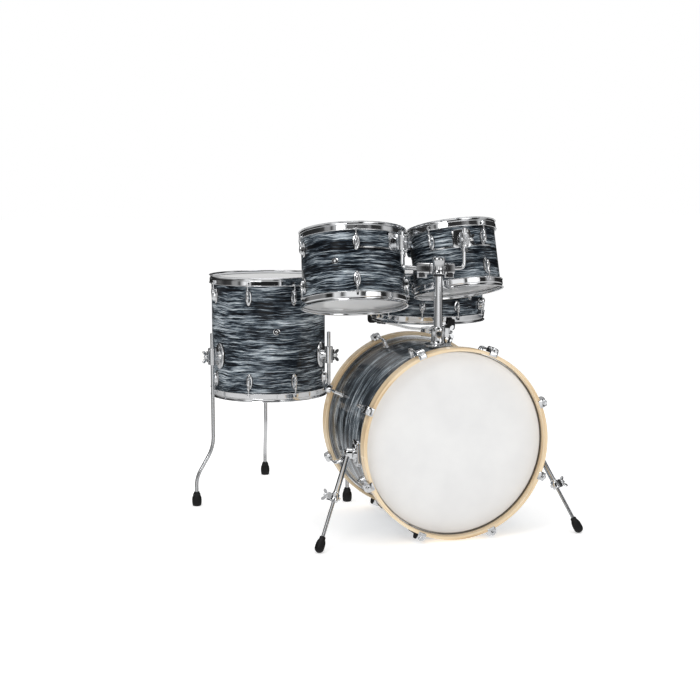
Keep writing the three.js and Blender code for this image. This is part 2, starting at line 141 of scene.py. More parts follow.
w_round = w_ramp(
    w_a,
    [(0.0, 0.06), (turn_at(-176), 0.30), (turn_at(-166), 0.34), (turn_at(-160), 0.03), (turn_at(-150), 0.95), (turn_at(-139), 1.0), (turn_at(-135), 0.015), (turn_at(-82), 0.015), (turn_at(-77), 1.0), (turn_at(-60), 0.9), (turn_at(-54), 0.03), (turn_at(-30), 0.04), (turn_at(-22), 0.6), (turn_at(-6), 0.5), (turn_at(4), 0.03), (turn_at(60), 0.02), (turn_at(75), 0.4), (turn_at(95), 0.35), (turn_at(108), 0.02), (turn_at(165), 0.03), (turn_at(180), 0.06)],
)
w_level = w_ramp(
    w_a,
    [(0.0, 0.20), (turn_at(-170), 0.25), (turn_at(-164), 0.02), (turn_at(-152), 0.02), (turn_at(-146), 0.85), (turn_at(-136), 0.75), (turn_at(-131), 0.06), (turn_at(-126), 0.30), (turn_at(-120), 0.95), (turn_at(-94), 0.98), (turn_at(-90), 0.10), (turn_at(-82), 0.04), (turn_at(-76), 0.9), (turn_at(-60), 0.8), (turn_at(-55), 0.02), (turn_at(-36), 0.02), (turn_at(-26), 0.4), (turn_at(-8), 0.35), (turn_at(2), 0.02), (turn_at(130), 0.02), (turn_at(150), 0.22), (turn_at(180), 0.20)],
)
w_high = w_ramp(w_z, [(0.0, 0.0), (0.54, 0.0), (0.57, 1.0), (0.80, 1.0), (0.84, 0.0), (1.0, 0.0)])
w_mid = w_ramp(w_z, [(0.0, 0.0), (0.34, 0.0), (0.42, 1.0), (0.54, 1.0), (0.57, 0.0), (1.0, 0.0)])
w_base = w_ramp(w_z, [(0.0, 0.80), (0.30, 0.72), (0.36, 0.40), (0.42, 0.0), (0.80, 0.0), (0.84, 0.03), (0.90, 0.55), (1.0, 0.7)])
w_base = w_math("MULTIPLY_ADD", w_level, w_mid, w_base)
w_sum = w_math("MULTIPLY_ADD", w_round, w_high, w_base)
wn.links.new(w_sum, w_env.inputs[0])
wn.links.new(w_path.outputs["Is Glossy Ray"], w_mix.inputs[0])
wn.links.new(w_white.outputs[0], w_mix.inputs[1])
wn.links.new(w_env.outputs[0], w_mix.inputs[2])
w_cam = wn.nodes.new("ShaderNodeMixShader")
w_paper = wn.nodes.new("ShaderNodeBackground")
w_paper.inputs[0].default_value = (1, 1, 1, 1)
wn.links.new(w_path.outputs["Is Camera Ray"], w_cam.inputs[0])
wn.links.new(w_mix.outputs[0], w_cam.inputs[1])
wn.links.new(w_paper.outputs[0], w_cam.inputs[2])
wn.links.new(w_cam.outputs[0], w_out.inputs[0])

# ------------------------------------------------------------------ materials


class Nodes:
    def __init__(self, name):
        self.mat = bpy.data.materials.new(name)
        self.mat.use_nodes = True
        self.nt = self.mat.node_tree
        self.nt.nodes.clear()
        self.out = self.nt.nodes.new("ShaderNodeOutputMaterial")
        self.b = self.nt.nodes.new("ShaderNodeBsdfPrincipled")
        self.nt.links.new(self.b.outputs[0], self.out.inputs[0])
        self.tc = self.nt.nodes.new("ShaderNodeTexCoord").outputs["Object"]

    def put(self, sock, v):
        if isinstance(v, bpy.types.NodeSocket):
            self.nt.links.new(v, sock)
        else:
            sock.default_value = v

    def node(self, kind, ins=(), **props):
        n = self.nt.nodes.new(kind)
        for k, v in props.items():
            setattr(n, k, v)
        for k, v in dict(ins).items():
            self.put(n.inputs[k], v)
        return n

    def math(self, op, a, b=0.0, c=0.0):
        return self.node("ShaderNodeMath", {0: a, 1: b, 2: c}, operation=op).outputs[0]

    def scale(self, vec, s):
        return self.node("ShaderNodeVectorMath", {0: vec, 1: s}, operation="MULTIPLY").outputs[0]

    def noise(self, vec, scale, detail=3.0, rough=0.55, distort=0.0):
        return self.node(
            "ShaderNodeTexNoise",
            {"Vector": vec, "Scale": scale, "Detail": detail, "Roughness": rough, "Distortion": distort},
        ).outputs[0]

    def ramp(self, fac, stops):
        n = self.node("ShaderNodeValToRGB", {0: fac})
        e = n.color_ramp.elements
        while len(e) > 1:
            e.remove(e[-1])
        for i, (p, c) in enumerate(stops):
            q = e[0] if i == 0 else e.new(p)
            q.position = p
            q.color = (*c, 1) if len(c) == 3 else c
        return n.outputs[0]

    def range(self, fac, a, b):
        return self.node("ShaderNodeMapRange", {0: fac, 1: 0.0, 2: 1.0, 3: a, 4: b}).outputs[0]

    def bump(self, height, strength, distance=0.001):
        n = self.node("ShaderNodeBump", {"Height": height, "Strength": strength, "Distance": distance})
        self.nt.links.new(n.outputs[0], self.b.inputs["Normal"])
        return n.outputs[0]

    def set(self, **kw):
        for k, v in kw.items():
            self.put(self.b.inputs[k.replace("_", " ")], v)
        return self.mat


def chrome_mat(name, tint=(0.86, 0.87, 0.885), lo=0.045, hi=0.11):
    n = Nodes(name)
    smudge = n.noise(n.tc, 55.0, 4.0, 0.6)
    fine = n.noise(n.tc, 900.0, 2.0, 0.5)
    n.set(Metallic=1.0)
    n.put(n.b.inputs["Base Color"], n.ramp(smudge, [(0.3, tuple(v * 0.93 for v in tint)), (0.7, tint)]))
    n.put(n.b.inputs["Roughness"], n.range(smudge, lo, hi))
    n.bump(fine, 0.02, 0.0002)
    return n.mat


CHROME = chrome_mat("chrome")
STEEL = chrome_mat("bright_steel", (0.74, 0.75, 0.765), 0.14, 0.26)
CAST = chrome_mat("chromed_casting", (0.80, 0.81, 0.825), 0.07, 0.18)
ALU = chrome_mat("aluminium_flesh_hoop", (0.72, 0.73, 0.74), 0.25, 0.4)


def rubber_mat():
    n = Nodes("black_rubber")
    g = n.noise(n.tc, 420.0, 3.0, 0.6)
    dust = n.noise(n.tc, 40.0, 4.0, 0.6)
    n.put(n.b.inputs["Base Color"], n.ramp(dust, [(0.35, (0.004, 0.004, 0.0045)), (0.75, (0.014, 0.014, 0.015))]))
    n.put(n.b.inputs["Roughness"], n.range(dust, 0.42, 0.62))
    n.set(Specular_IOR_Level=0.3)
    n.bump(g, 0.25, 0.0004)
    return n.mat


RUBBER = rubber_mat()


def dark_mat():
    n = Nodes("black_enamel")
    g = n.noise(n.tc, 300.0, 3.0, 0.6)
    n.put(n.b.inputs["Base Color"], n.ramp(g, [(0.3, (0.012, 0.012, 0.014)), (0.8, (0.03, 0.03, 0.034))]))
    n.put(n.b.inputs["Roughness"], n.range(g, 0.25, 0.4))
    n.bump(g, 0.05, 0.0003)
    return n.mat


DARK = dark_mat()


def wrap_mat(name, seed, lift=1.0):
    # pearl wrap: thin, slightly wavy streaks running round the shell, which is the local Z axis's circle
    n = Nodes(name)
    moved = n.node("ShaderNodeVectorMath", {0: n.tc, 1: (seed, seed * 1.7, seed * 0.6)}, operation="ADD").outputs[0]
    wave = n.noise(n.scale(moved, (1, 1, 1.6)), 13.0, 2.0, 0.5)
    wave2 = n.noise(n.scale(moved, (1, 1, 2.2)), 44.0, 2.0, 0.5)
    sep = n.node("ShaderNodeSeparateXYZ", {0: moved})
    z = n.math("MULTIPLY_ADD", wave, 0.015, sep.outputs[2])
    z = n.math("MULTIPLY_ADD", wave2, 0.0032, z)
    comb = n.node("ShaderNodeCombineXYZ", {0: sep.outputs[0], 1: sep.outputs[1], 2: z}).outputs[0]
    a = n.noise(n.scale(comb, (12, 12, 250)), 1.0, 5.0, 0.68)
    b = n.noise(n.scale(comb, (22, 22, 720)), 1.0, 3.0, 0.62)
    c = n.noise(n.scale(comb, (5, 5, 30)), 1.0, 3.0, 0.5)
    f = n.math("MULTIPLY", a, 0.50)
    f = n.math("MULTIPLY_ADD", b, 0.34, f)
    f = n.math("MULTIPLY_ADD", c, 0.24, f)
    col = n.ramp(
        f,
        [
            (0.455, (0.0010, 0.0014, 0.0026)),
            (0.505, (0.005, 0.008, 0.013)),
            (0.535, (0.022, 0.031, 0.043)),
            (0.565, (0.095, 0.122, 0.150)),
            (0.596, (0.34, 0.40, 0.45)),
            (0.645, (0.84, 0.90, 0.94)),
        ],
    )
    n.put(n.b.inputs["Base Color"], col)
    n.put(n.b.inputs["Metallic"], n.range(f, 0.10, 0.45))
    n.put(n.b.inputs["Roughness"], n.range(b, 0.30, 0.44))
    n.set(Coat_Weight=0.8, Coat_Roughness=0.03, Coat_IOR=1.3, Specular_IOR_Level=0.12)
    n.bump(f, 0.06, 0.0006)
    return n.mat


def maple_mat(name, bright=1.0, across=False):
    # straight grain running round the hoop
    n = Nodes(name)
    sep = n.node("ShaderNodeSeparateXYZ", {0: n.tc})
    r2 = n.math("ADD", n.math("MULTIPLY", sep.outputs[0], sep.outputs[0]), n.math("MULTIPLY", sep.outputs[1], sep.outputs[1]))
    r = n.math("SQRT", r2)
    h = n.math("ADD", sep.outputs[2], r)
    comb = n.node("ShaderNodeCombineXYZ", {0: sep.outputs[0], 1: sep.outputs[1], 2: h}).outputs[0]
    grain = n.noise(n.scale(comb, (9, 9, 420)), 1.0, 4.0, 0.6)
    broad = n.noise(n.scale(comb, (4, 4, 60)), 1.0, 3.0, 0.5)
    pore = n.noise(n.scale(comb, (40, 40, 1500)), 1.0, 2.0, 0.6)
    f = n.math("MULTIPLY_ADD", broad, 0.5, n.math("MULTIPLY", grain, 0.5))
    k = bright
    n.put(
        n.b.inputs["Base Color"],
        n.ramp(f, [(0.36, (0.60 * k, 0.41 * k, 0.22 * k)), (0.5, (0.84 * k, 0.65 * k, 0.41 * k)), (0.64, (0.94 * k, 0.79 * k, 0.57 * k))]),
    )
    n.put(n.b.inputs["Roughness"], n.range(pore, 0.28, 0.42))
    n.set(Coat_Weight=0.5, Coat_Roughness=0.06)
    n.bump(pore, 0.08, 0.0003)
    return n.mat


def film_mat(name, coated):
    n = Nodes(name)
    g = n.noise(n.tc, 1400.0, 2.0, 0.6)
    cloud = n.noise(n.tc, 9.0, 3.0, 0.5)
    if coated:
        n.put(n.b.inputs["Base Color"], n.ramp(cloud, [(0.3, (0.80, 0.80, 0.80)), (0.7, (0.86, 0.86, 0.855))]))
        n.put(n.b.inputs["Roughness"], n.range(g, 0.42, 0.62))
        n.bump(g, 0.10, 0.0003)
    else:
        n.put(n.b.inputs["Base Color"], n.ramp(cloud, [(0.3, (0.84, 0.85, 0.86)), (0.7, (0.92, 0.92, 0.92))]))
        n.put(n.b.inputs["Roughness"], n.range(g, 0.06, 0.12))
        n.set(Alpha=0.78)
    return n.mat


MAPLE = maple_mat("maple_hoop")
PLY = maple_mat("maple_ply_inside", 0.85)
# a darkened copy of the maple: painted shade for the bass hoops' inner wall strip where the head meets the hoop
HOOP_PAINTED_SHADE = maple_mat("hoop_inner_painted_shade", 0.30)
COATED = film_mat("coated_film", True)
SMOOTH = film_mat("smooth_white_film", True)
CLEAR = film_mat("clear_film", False)

floor_mesh = bpy.data.meshes.new("floor")
floor_mesh.from_pydata([(-30, -30, 0), (30, -30, 0), (30, 30, 0), (-30, 30, 0)], [], [(0, 1, 2, 3)])
floor = bpy.data.objects.new("floor", floor_mesh)
scene.collection.objects.link(floor)
nf = Nodes("pale_floor")
fn = nf.noise(nf.tc, 3.0, 2.0, 0.5)
nf.put(nf.b.inputs["Base Color"], nf.ramp(fn, [(0.3, (0.93, 0.93, 0.93)), (0.7, (0.945, 0.945, 0.945))]))
nf.set(Roughness=0.6)
nf.put(nf.b.inputs["Emission Color"], (1, 1, 1, 1))
nf.put(nf.b.inputs["Emission Strength"], 0.45)
nf.put(nf.b.inputs["Specular IOR Level"], 0.0)
floor_mesh.materials.append(nf.mat)
floor.visible_glossy = False

# ------------------------------------------------------------------ mesh helpers, in millimetres


class Shape:
    def __init__(self):
        self.v, self.f, self.m = [], [], []

    def add(self, verts, faces, mat=0, M=None):
        base = len(self.v)
        for p in verts:
            p = Vector(p)
            self.v.append(tuple(M @ p) if M is not None else tuple(p))
        for i, f in enumerate(faces):
            self.f.append([base + k for k in f])
            self.m.append(mat[i] if isinstance(mat, list) else mat)
        return self

    # closed or axis-to-axis profile of (r, z), turned round Z
    def lathe(self, prof, segs, mat=0, M=None, closed=True, radius=None, mats=None):
        n = len(prof)
        verts, faces, ms = [], [], []
        for s in range(segs):
            t = 2 * math.pi * s / segs
            c, sn = math.cos(t), math.sin(t)
            for i, (r, z) in enumerate(prof):
                rr = radius(i, t, r) if radius else r
                verts.append((rr * c, rr * sn, z))
        last = n if closed else n - 1
        for s in range(segs):
            s2 = (s + 1) % segs
            for i in range(last):
                j = (i + 1) % n
                faces.append((s * n + i, s2 * n + i, s2 * n + j, s * n + j))
                ms.append(mats[i] if mats else mat)
        return self.add(verts, faces, ms, M)

    # a solid of rings along a line: rings is [(t, r), ...] along p to q
    def turn(self, p, q, rings, segs=24, mat=0):
        p, q = Vector(p), Vector(q)
        d = (q - p).normalized()
        a = d.orthogonal().normalized()
        b = d.cross(a)
        verts, faces = [], []
        for t, r in rings:
            for s in range(segs):
                w = 2 * math.pi * s / segs
                verts.append(tuple(p + d * t + (a * math.cos(w) + b * math.sin(w)) * max(r, 0.01)))
        for k in range(len(rings) - 1):
            for s in range(segs):
                s2 = (s + 1) % segs
                faces.append((k * segs + s, k * segs + s2, (k + 1) * segs + s2, (k + 1) * segs + s))
        faces.append(tuple(reversed(range(segs))))
        faces.append(tuple((len(rings) - 1) * segs + s for s in range(segs)))
        return self.add(verts, faces, mat)

    def cyl(self, p, q, r, segs=24, mat=0, ch=0.0, r2=None):
        L = (Vector(q) - Vector(p)).length
        r2 = r if r2 is None else r2
        if ch:
            rings = [(0, r - ch), (ch, r), (L - ch, r2), (L, r2 - ch)]
        else:
            rings = [(0, r), (L, r2)]
        return self.turn(p, q, rings, segs, mat)

    def box(self, size, M, mat=0):
        x, y, z = (s / 2 for s in size)
        verts = [(-x, -y, -z), (x, -y, -z), (x, y, -z), (-x, y, -z), (-x, -y, z), (x, -y, z), (x, y, z), (-x, y, z)]
        faces = [(3, 2, 1, 0), (4, 5, 6, 7), (0, 1, 5, 4), (1, 2, 6, 5), (2, 3, 7, 6), (3, 0, 4, 7)]
        return self.add(verts, faces, mat, M)

    # an outline in local XY, raised from z0 to z1
    def plate(self, outline, z0, z1, M, mat=0, chamfer=0.0):
        n = len(outline)
        cx = sum(p[0] for p in outline) / n
        cy = sum(p[1] for p in outline) / n

        def level(z, k):
            out = []
            for x, y in outline:
                d = math.hypot(x - cx, y - cy) or 1
                f = (d - k) / d
                out.append((cx + (x - cx) * f, cy + (y - cy) * f, z))
            return out

        if chamfer:
            levels = [level(z0, 0), level(z1 - chamfer, 0), level(z1 - chamfer * 0.3, chamfer * 0.35), level(z1, chamfer)]
        else:
            levels = [level(z0, 0), level(z1, 0)]
        verts = [p for lv in levels for p in lv]
        faces = []
        for k in range(len(levels) - 1):
            for i in range(n):
                j = (i + 1) % n
                faces.append((k * n + i, k * n + j, (k + 1) * n + j, (k + 1) * n + i))
        faces.append(tuple(reversed(range(n))))
        faces.append(tuple((len(levels) - 1) * n + i for i in range(n)))
        return self.add(verts, faces, mat, M)

    def ball(self, c, r, mat=0, sx=1, sy=1, sz=1, segs=16, rings=10, M=None):
        verts, faces = [], []
        for i in range(rings + 1):
            ph = math.pi * i / rings
            for s in range(segs):
                w = 2 * math.pi * s / segs
                rr = max(math.sin(ph), 0.002) * r
                verts.append((c[0] + rr * math.cos(w) * sx, c[1] + rr * math.sin(w) * sy, c[2] + math.cos(ph) * r * sz))
        for i in range(rings):
            for s in range(segs):
                s2 = (s + 1) % segs
                faces.append((i * segs + s, (i + 1) * segs + s, (i + 1) * segs + s2, i * segs + s2))
        faces.append(tuple(reversed(range(segs))))
        faces.append(tuple(rings * segs + s for s in range(segs)))
        return self.add(verts, faces, mat, M)

    # a round bar through points, with its own radius
    def sweep(self, pts, r, segs=16, mat=0):
        pts = [Vector(p) for p in pts]
        d = (pts[1] - pts[0]).normalized()
        a = d.orthogonal().normalized()
        verts, faces = [], []
        n = len(pts)
        for i, p in enumerate(pts):
            if i == 0:
                d = (pts[1] - pts[0]).normalized()
            elif i == n - 1:
                d = (pts[-1] - pts[-2]).normalized()
            else:
                d = ((pts[i + 1] - p).normalized() + (p - pts[i - 1]).normalized()).normalized()
            a = (a - d * a.dot(d)).normalized()
            b = d.cross(a)
            rr = r(i / (n - 1)) if callable(r) else r
            for s in range(segs):
                w = 2 * math.pi * s / segs
                verts.append(tuple(p + (a * math.cos(w) + b * math.sin(w)) * rr))
        for k in range(n - 1):
            for s in range(segs):
                s2 = (s + 1) % segs
                faces.append((k * segs + s, k * segs + s2, (k + 1) * segs + s2, (k + 1) * segs + s))
        faces.append(tuple(reversed(range(segs))))
        faces.append(tuple((n - 1) * segs + s for s in range(segs)))
        return self.add(verts, faces, mat)


def rounded(points, radius, steps=6):
    """The polyline with its inner corners rounded."""
    pts = [Vector(p) for p in points]
    out = [pts[0]]
    for i in range(1, len(pts) - 1):
        a, b, c = pts[i - 1], pts[i], pts[i + 1]
        r = min(radius, (a - b).length * 0.45, (c - b).length * 0.45)
        p, q = b + (a - b).normalized() * r, b + (c - b).normalized() * r
        for k in range(steps + 1):
            t = k / steps
            out.append(p * (1 - t) ** 2 + b * 2 * t * (1 - t) + q * t * t)
    out.append(pts[-1])
    return out


def basis(origin, x, z):
    """A frame at origin whose Z is z and whose X is as near x as it can be."""
    z = Vector(z).normalized()
    x = Vector(x)
    x = (x - z * x.dot(z)).normalized()
    y = z.cross(x)
    m = Matrix((x, y, z)).transposed().to_4x4()
    m.translation = Vector(origin)
    return m


def round_rect(w, h, r, steps=5):
    out = []
    for cx, cy, a0 in ((w / 2 - r, h / 2 - r, 0), (-w / 2 + r, h / 2 - r, 90), (-w / 2 + r, -h / 2 + r, 180), (w / 2 - r, -h / 2 + r, 270)):
        for k in range(steps + 1):
            a = math.radians(a0 + 90 * k / steps)
            out.append((cx + r * math.cos(a), cy + r * math.sin(a)))
    return out


K = Matrix.Translation(OFF * MM)


def make(name, shape, mats, body, M=None, nodes=(), bevel=0.0, angle=38):
    me = bpy.data.meshes.new(name)
    me.from_pydata([(x * MM, y * MM, z * MM) for x, y, z in shape.v], [], shape.f)
    for mt in mats:
        me.materials.append(mt)
    me.polygons.foreach_set("material_index", shape.m)
    bm = bmesh.new()
    bm.from_mesh(me)
    bmesh.ops.remove_doubles(bm, verts=bm.verts, dist=2e-6)
    bmesh.ops.dissolve_degenerate(bm, dist=1e-6, edges=bm.edges)
    bmesh.ops.recalc_face_normals(bm, faces=bm.faces)
    bm.to_mesh(me)
    bm.free()
    me.shade_smooth()
    me.set_sharp_from_angle(angle=math.radians(angle))
    o = bpy.data.objects.new(name, me)
    scene.collection.objects.link(o)
    o.matrix_world = K @ M if M is not None else K.copy()
    if bevel:
        b = o.modifiers.new("bevel", "BEVEL")
        b.width = bevel * MM
        b.segments = 2
        b.limit_method = "ANGLE"
        b.angle_limit = math.radians(40)
        b.harden_normals = False
    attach(o, body)
    if nodes:
        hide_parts(*nodes)
    return o


def in_metres(M):
    M = M.copy()
    M.translation = M.translation * MM
    return M


def at(angle_deg, r, z):
    """A frame on a drum's side: X along the circle, Y up the drum, Z outward."""
    a = math.radians(angle_deg)
    er = Vector((math.cos(a), math.sin(a), 0))
    return basis(er * r + Vector((0, 0, z)), (-math.sin(a), math.cos(a), 0), er)


# ------------------------------------------------------------------ parts that repeat


def lug(S, G, angle, R, z_end, s, length, height=15.0, width=8.2, rod_off=9.5):
    """A leaf-shaped lug: s is +1 where its hoop lies above it."""
    zc = z_end - s * length / 2
    M = at(angle, R, zc)
    n = 28

    def outline(k, grow=0.0):
        out = []
        for i in range(n):
            t = 2 * math.pi * i / n
            c, sn = math.cos(t), math.sin(t)
            x = (width * k + grow) * (abs(c) ** 1.15) * (1 if c >= 0 else -1)
            y = (length / 2 * k + grow) * (abs(sn) ** 0.92) * (1 if sn >= 0 else -1)
            out.append((x, y))
        return out

    levels = [(1.0, -1.0), (1.0, 2.2), (0.955, 3.1), (0.80, 3.5), (0.70, 3.9), (0.655, 5.0), (0.63, height * 0.62), (0.56, height * 0.82), (0.42, height * 0.94), (0.22, height)]
    verts, faces = [], []
    for k, h in levels:
        verts += [(x, y, h) for x, y in outline(k)]
    for L in range(len(levels) - 1):
        for i in range(n):
            j = (i + 1) % n
            faces.append((L * n + i, L * n + j, (L + 1) * n + j, (L + 1) * n + i))
    faces.append(tuple(reversed(range(n))))
    faces.append(tuple((len(levels) - 1) * n + i for i in range(n)))
    S.add(verts, faces, 0, M)
    verts = [(x, y, -1.0) for x, y in outline(1, 1.0)] + [(x, y, 0.9) for x, y in outline(1, 1.0)]
    faces = [(i, (i + 1) % n, n + (i + 1) % n, n + i) for i in range(n)] + [tuple(reversed(range(n))), tuple(range(n, 2 * n))]
    G.add(verts, faces, 0, M)
    # swivel nut that takes the rod
    er = Vector((math.cos(math.radians(angle)), math.sin(math.radians(angle)), 0))
    c = er * (R + rod_off)
    p = c + Vector((0, 0, z_end + s * 0.6))
    q = c + Vector((0, 0, z_end - s * length * 0.42))
    S.turn(p, q, [(0, 3.6), (0.8, 4.4), (5.0, 4.4), (6.0, 4.9), (7.5, 4.9), (8.5, 4.4), (length * 0.42, 4.2)], 18)


def tension_rod(S, angle, r, z_ear, s, z_lug, rad=2.7, head=6.2):
    er = Vector((math.cos(math.radians(angle)), math.sin(math.radians(angle)), 0))
    et = Vector((-er.y, er.x, 0))
    c = er * r
    z = Vector((0, 0, 1))
    ear_top = c + z * (z_ear + s * 2.3)
    S.cyl(c + z * (z_ear + s * 1.0), c + z * z_lug, rad, 12)
    S.turn(ear_top - z * s * 0.6, ear_top + z * s * 2, [(0, 5.6), (1.2, 5.6), (1.6, 5.2)], 20)
    S.turn(ear_top + z * s * 1.0, ear_top + z * s * 3, [(0, 4.8), (1.6, 4.8), (2.2, 4.0)], 20)
    M = basis(ear_top + z * s * 6.4, et, z)
    S.box((head, head, 8.0), M)


def wing(S, base, direction, flat, size=1.0, stem=8.0, mat=0):
    """A wing screw: its stem starts at base and runs along direction; flat is the direction its wings spread."""
    d = Vector(direction).normalized()
    b = Vector(base)
    S.cyl(b - d * 2, b + d * (stem + 3), 3.3 * size, 14, mat)
    S.turn(b + d * stem, b + d * (stem + 12), [(0, 6.2 * size), (1.2, 6.8 * size), (7, 5.6 * size), (9.5, 4.6 * size), (11, 2.6 * size)], 18, mat)
    M = basis(b + d * (stem + 4.5), flat, Vector(flat).cross(d))
    for sx in (1, -1):
        out = []
        for x, y in ((3, -3.4), (10, -2.6), (17, 1.5), (20.5, 7.5), (19, 11.5), (14.5, 12.4), (9.5, 9.5), (5.5, 4.8), (3, 4.0)):
            out.append((sx * x * size, (y) * size))
        if sx < 0:
            out.reverse()
        # the plate's own Y runs along the screw's direction
        My = M.copy()
        yv = M.to_3x3() @ Vector((0, 1, 0))
        if yv.dot(d) < 0:
            out = [(x, -y) for x, y in reversed(out)]
        S.plate(out, -2.0 * size, 2.0 * size, My, mat, chamfer=0.9 * size)


def key_bolt(S, p, d, r=4.6, head=6.0, mat=0):
    d = Vector(d).normalized()
    p = Vector(p)
    S.turn(p - d, p + d * 3, [(0, r), (2.4, r), (3.0, r - 0.6)], 18, mat)
    S.box((head, head, 6.5), basis(p + d * 5, d.orthogonal(), d), mat)


def drum_head(name, body, M, R, z, s, film, node, segs=112):
    prof = [
        (0.0, 0.75), (R * 0.5, 0.75), (R - 12, 0.75), (R - 9, 0.45), (R - 6.5, 0.75), (R - 2.5, 1.1), (R + 0.4, 0.85), (R + 1.6, -0.6),
        (R + 1.9, -2.6), (R + 2.55, -3.0), (R + 2.55, -8.6), (R + 0.75, -8.6), (R + 0.75, -3.0), (R + 0.5, -1.2), (R - 1, 0.15), (R - 12, 0.1), (0.0, 0.1),
    ]
    mats = [0] * len(prof)
    for i in (8, 9, 10, 11):
        mats[i] = 1
    S = Shape().lathe([(r, z + s * h) for r, h in prof], segs, M=None, closed=False, mats=mats)
    return make(name, S, [film, ALU], body, M, [node], 0, 40)


def flanged_hoop(name, body, M, R, z, s, n, first, node):
    def ear(t):
        d = min(abs((math.degrees(t) - first - k * 360 / n + 180) % 360 - 180) for k in range(n))
        mm = math.radians(d) * (R + 10)
        x = min(max((15 - mm) / 8.5, 0), 1)
        return x * x * (3 - 2 * x)

    prof = [
        (R + 6.9, -14.0), (R + 7.5, -13.3), (R + 7.5, -12.3), (R + 6.8, -11.7), (R + 6.2, -11.5), (R + 5.9, -10.6), (R + 5.8, 0.4), (R + 5.4, 1.6),
        (R + 4.2, 2.7), (R + 3.7, 3.9), (R + 3.7, 8.4), (R + 4.4, 9.6), (R + 6.6, 9.9), (R + 7.4, 10.5), (R + 7.5, 11.3), (R + 6.9, 11.9),
        (R + 3.6, 12.0), (R + 2.1, 11.3), (R + 1.5, 10.0), (R + 1.5, 3.0), (R + 2.0, 1.9), (R + 3.1, 1.2), (R + 3.5, 0.2), (R + 3.5, -11.0), (R + 3.4, -13.6), (R + 4.2, -14.0),
    ]
    grow = {0: 1.0, 1: 1.0, 2: 1.0, 3: 1.0}

    def radius(i, t, r):
        return r + 6.2 * ear(t) * grow.get(i, 0)

    S = Shape().lathe([(r, z + s * h) for r, h in prof], 192, radius=radius)
    return make(name, S, [CHROME], body, M, [node], 0, 50)


def small_drum(prefix, body, centre, upv, diameter, depth, n, first, lug_len, seed, badge, extra_nodes=()):
    R, H = diameter / 2, depth / 2
    z = Vector(upv).normalized()
    y = z.cross(Vector((1, 0, 0))).normalized()
    x = y.cross(z).normalized()
    M = Matrix((x, y, z)).transposed().to_4x4()
    M.translation = Vector(centre) * MM
    angles = [first + k * 360 / n for k in range(n)]
    # shell with cut bearing edges, wrapped outside, ply inside
    prof = [(R - 0.6, -H + 3.2), (R, -H + 3.6), (R, H - 3.6), (R - 0.6, H - 3.2), (R - 1.4, H - 0.4), (R - 2.2, H), (R - 3.0, H - 0.6), (R - 5.2, H - 4), (R - 5.2, -H + 4), (R - 3.0, -H + 0.6), (R - 2.2, -H), (R - 1.4, -H + 0.4)]
    S = Shape().lathe(prof, 128, mats=[0, 0, 0] + [1] * 9)
    make(prefix + "_wrapped_shell", S, [wrap_mat(prefix + "_wrap", seed), PLY], body, M, [prefix + "_shell"], 0, 30)
    S, G = Shape(), Shape()
    for a in angles:
        lug(S, G, a, R, H - 25, 1, lug_len, width=9.6)
        lug(S, G, a, R, -H + 25, -1, lug_len, width=9.6)
    make(prefix + "_lugs", S, [CHROME], body, M, [prefix + "_shell"], 0, 42)
    make(prefix + "_lug_gaskets", G, [RUBBER], body, M, (), 0, 42)
    for side, word in ((1, "top"), (-1, "bottom")):
        flanged_hoop(f"{prefix}_{word}_rim", body, M, R, side * H, side, n, first, f"{prefix}_{word}_hoop")
        S = Shape()
        for a in angles:
            tension_rod(S, a, R + 9.5, side * (H - 14), side, side * (H - 27))
        make(f"{prefix}_{word}_rods", S, [CHROME], body, M, [f"{prefix}_{word}_hoop"], 0.25, 40)
    drum_head(prefix + "_batter_film", body, M, R, H, 1, COATED, prefix + "_batter_head")
    drum_head(prefix + "_resonant_film", body, M, R, -H, -1, CLEAR, prefix + "_resonant_head")
    # round vent badge with nothing written on it
    if badge is not None:
        ang, bz, br = badge
        B = Shape()
        Mb = at(ang, R - 0.6, bz)
        ring = [(br * math.cos(2 * math.pi * k / 32), br * 0.86 * math.sin(2 * math.pi * k / 32)) for k in range(32)]
        B.plate(ring, 0, 1.7, Mb, 0, 0.5)
        B.plate([(u * 0.82, v * 0.82) for u, v in ring], 1.2, 2.0, Mb, 1, 0.2)
        d = Mb.to_3x3() @ Vector((0, 0, 1))
        p = Mb.translation
        B.turn(p + d * 1.0, p + d * 3, [(0, 4.2), (1.8, 4.2), (2.3, 3.4), (1.9, 2.6), (1.2, 2.4)], 24, 0)
        make(prefix + "_vent_badge", B, [CHROME, DARK], body, M, (), 0, 40)
    return M


# ------------------------------------------------------------------ bass drum
BR = 254.0
BL = 456.0
BM = Matrix.Translation((0, 0, 0.2732)) @ Matrix.Rotation(math.pi / 2 - 0.0087, 4, "X")
front, rear = -27.5, -(BL - 27.5)
prof = [(BR - 0.8, rear + 3), (BR, rear + 3.6), (BR, front - 3.6), (BR - 0.8, front - 3), (BR - 2.4, front), (BR - 7, front - 5), (BR - 7, rear + 5), (BR - 2.4, rear)]
S = Shape().lathe(prof, 160, mats=[0, 0, 0, 1, 1, 1, 1, 1])
make("bass_wrapped_shell", S, [wrap_mat("bass_wrap", 3.1), PLY], "bass_drum", BM, ["bass_shell"], 0, 30)
bass_angles = [22.5 + 45 * k for k in range(8)]
S, G = Shape(), Shape()
for a in bass_angles:
    lug(S, G, a, BR, -82, 1, 40, height=27.5, width=9.0, rod_off=24)
    lug(S, G, a, BR, -(BL - 82), -1, 40, height=27.5, width=9.0, rod_off=24)
make("bass_lugs", S, [CHROME], "bass_drum", BM, ["bass_shell"], 0, 42)
make("bass_lug_gaskets", G, [RUBBER], "bass_drum", BM, (), 0, 42)
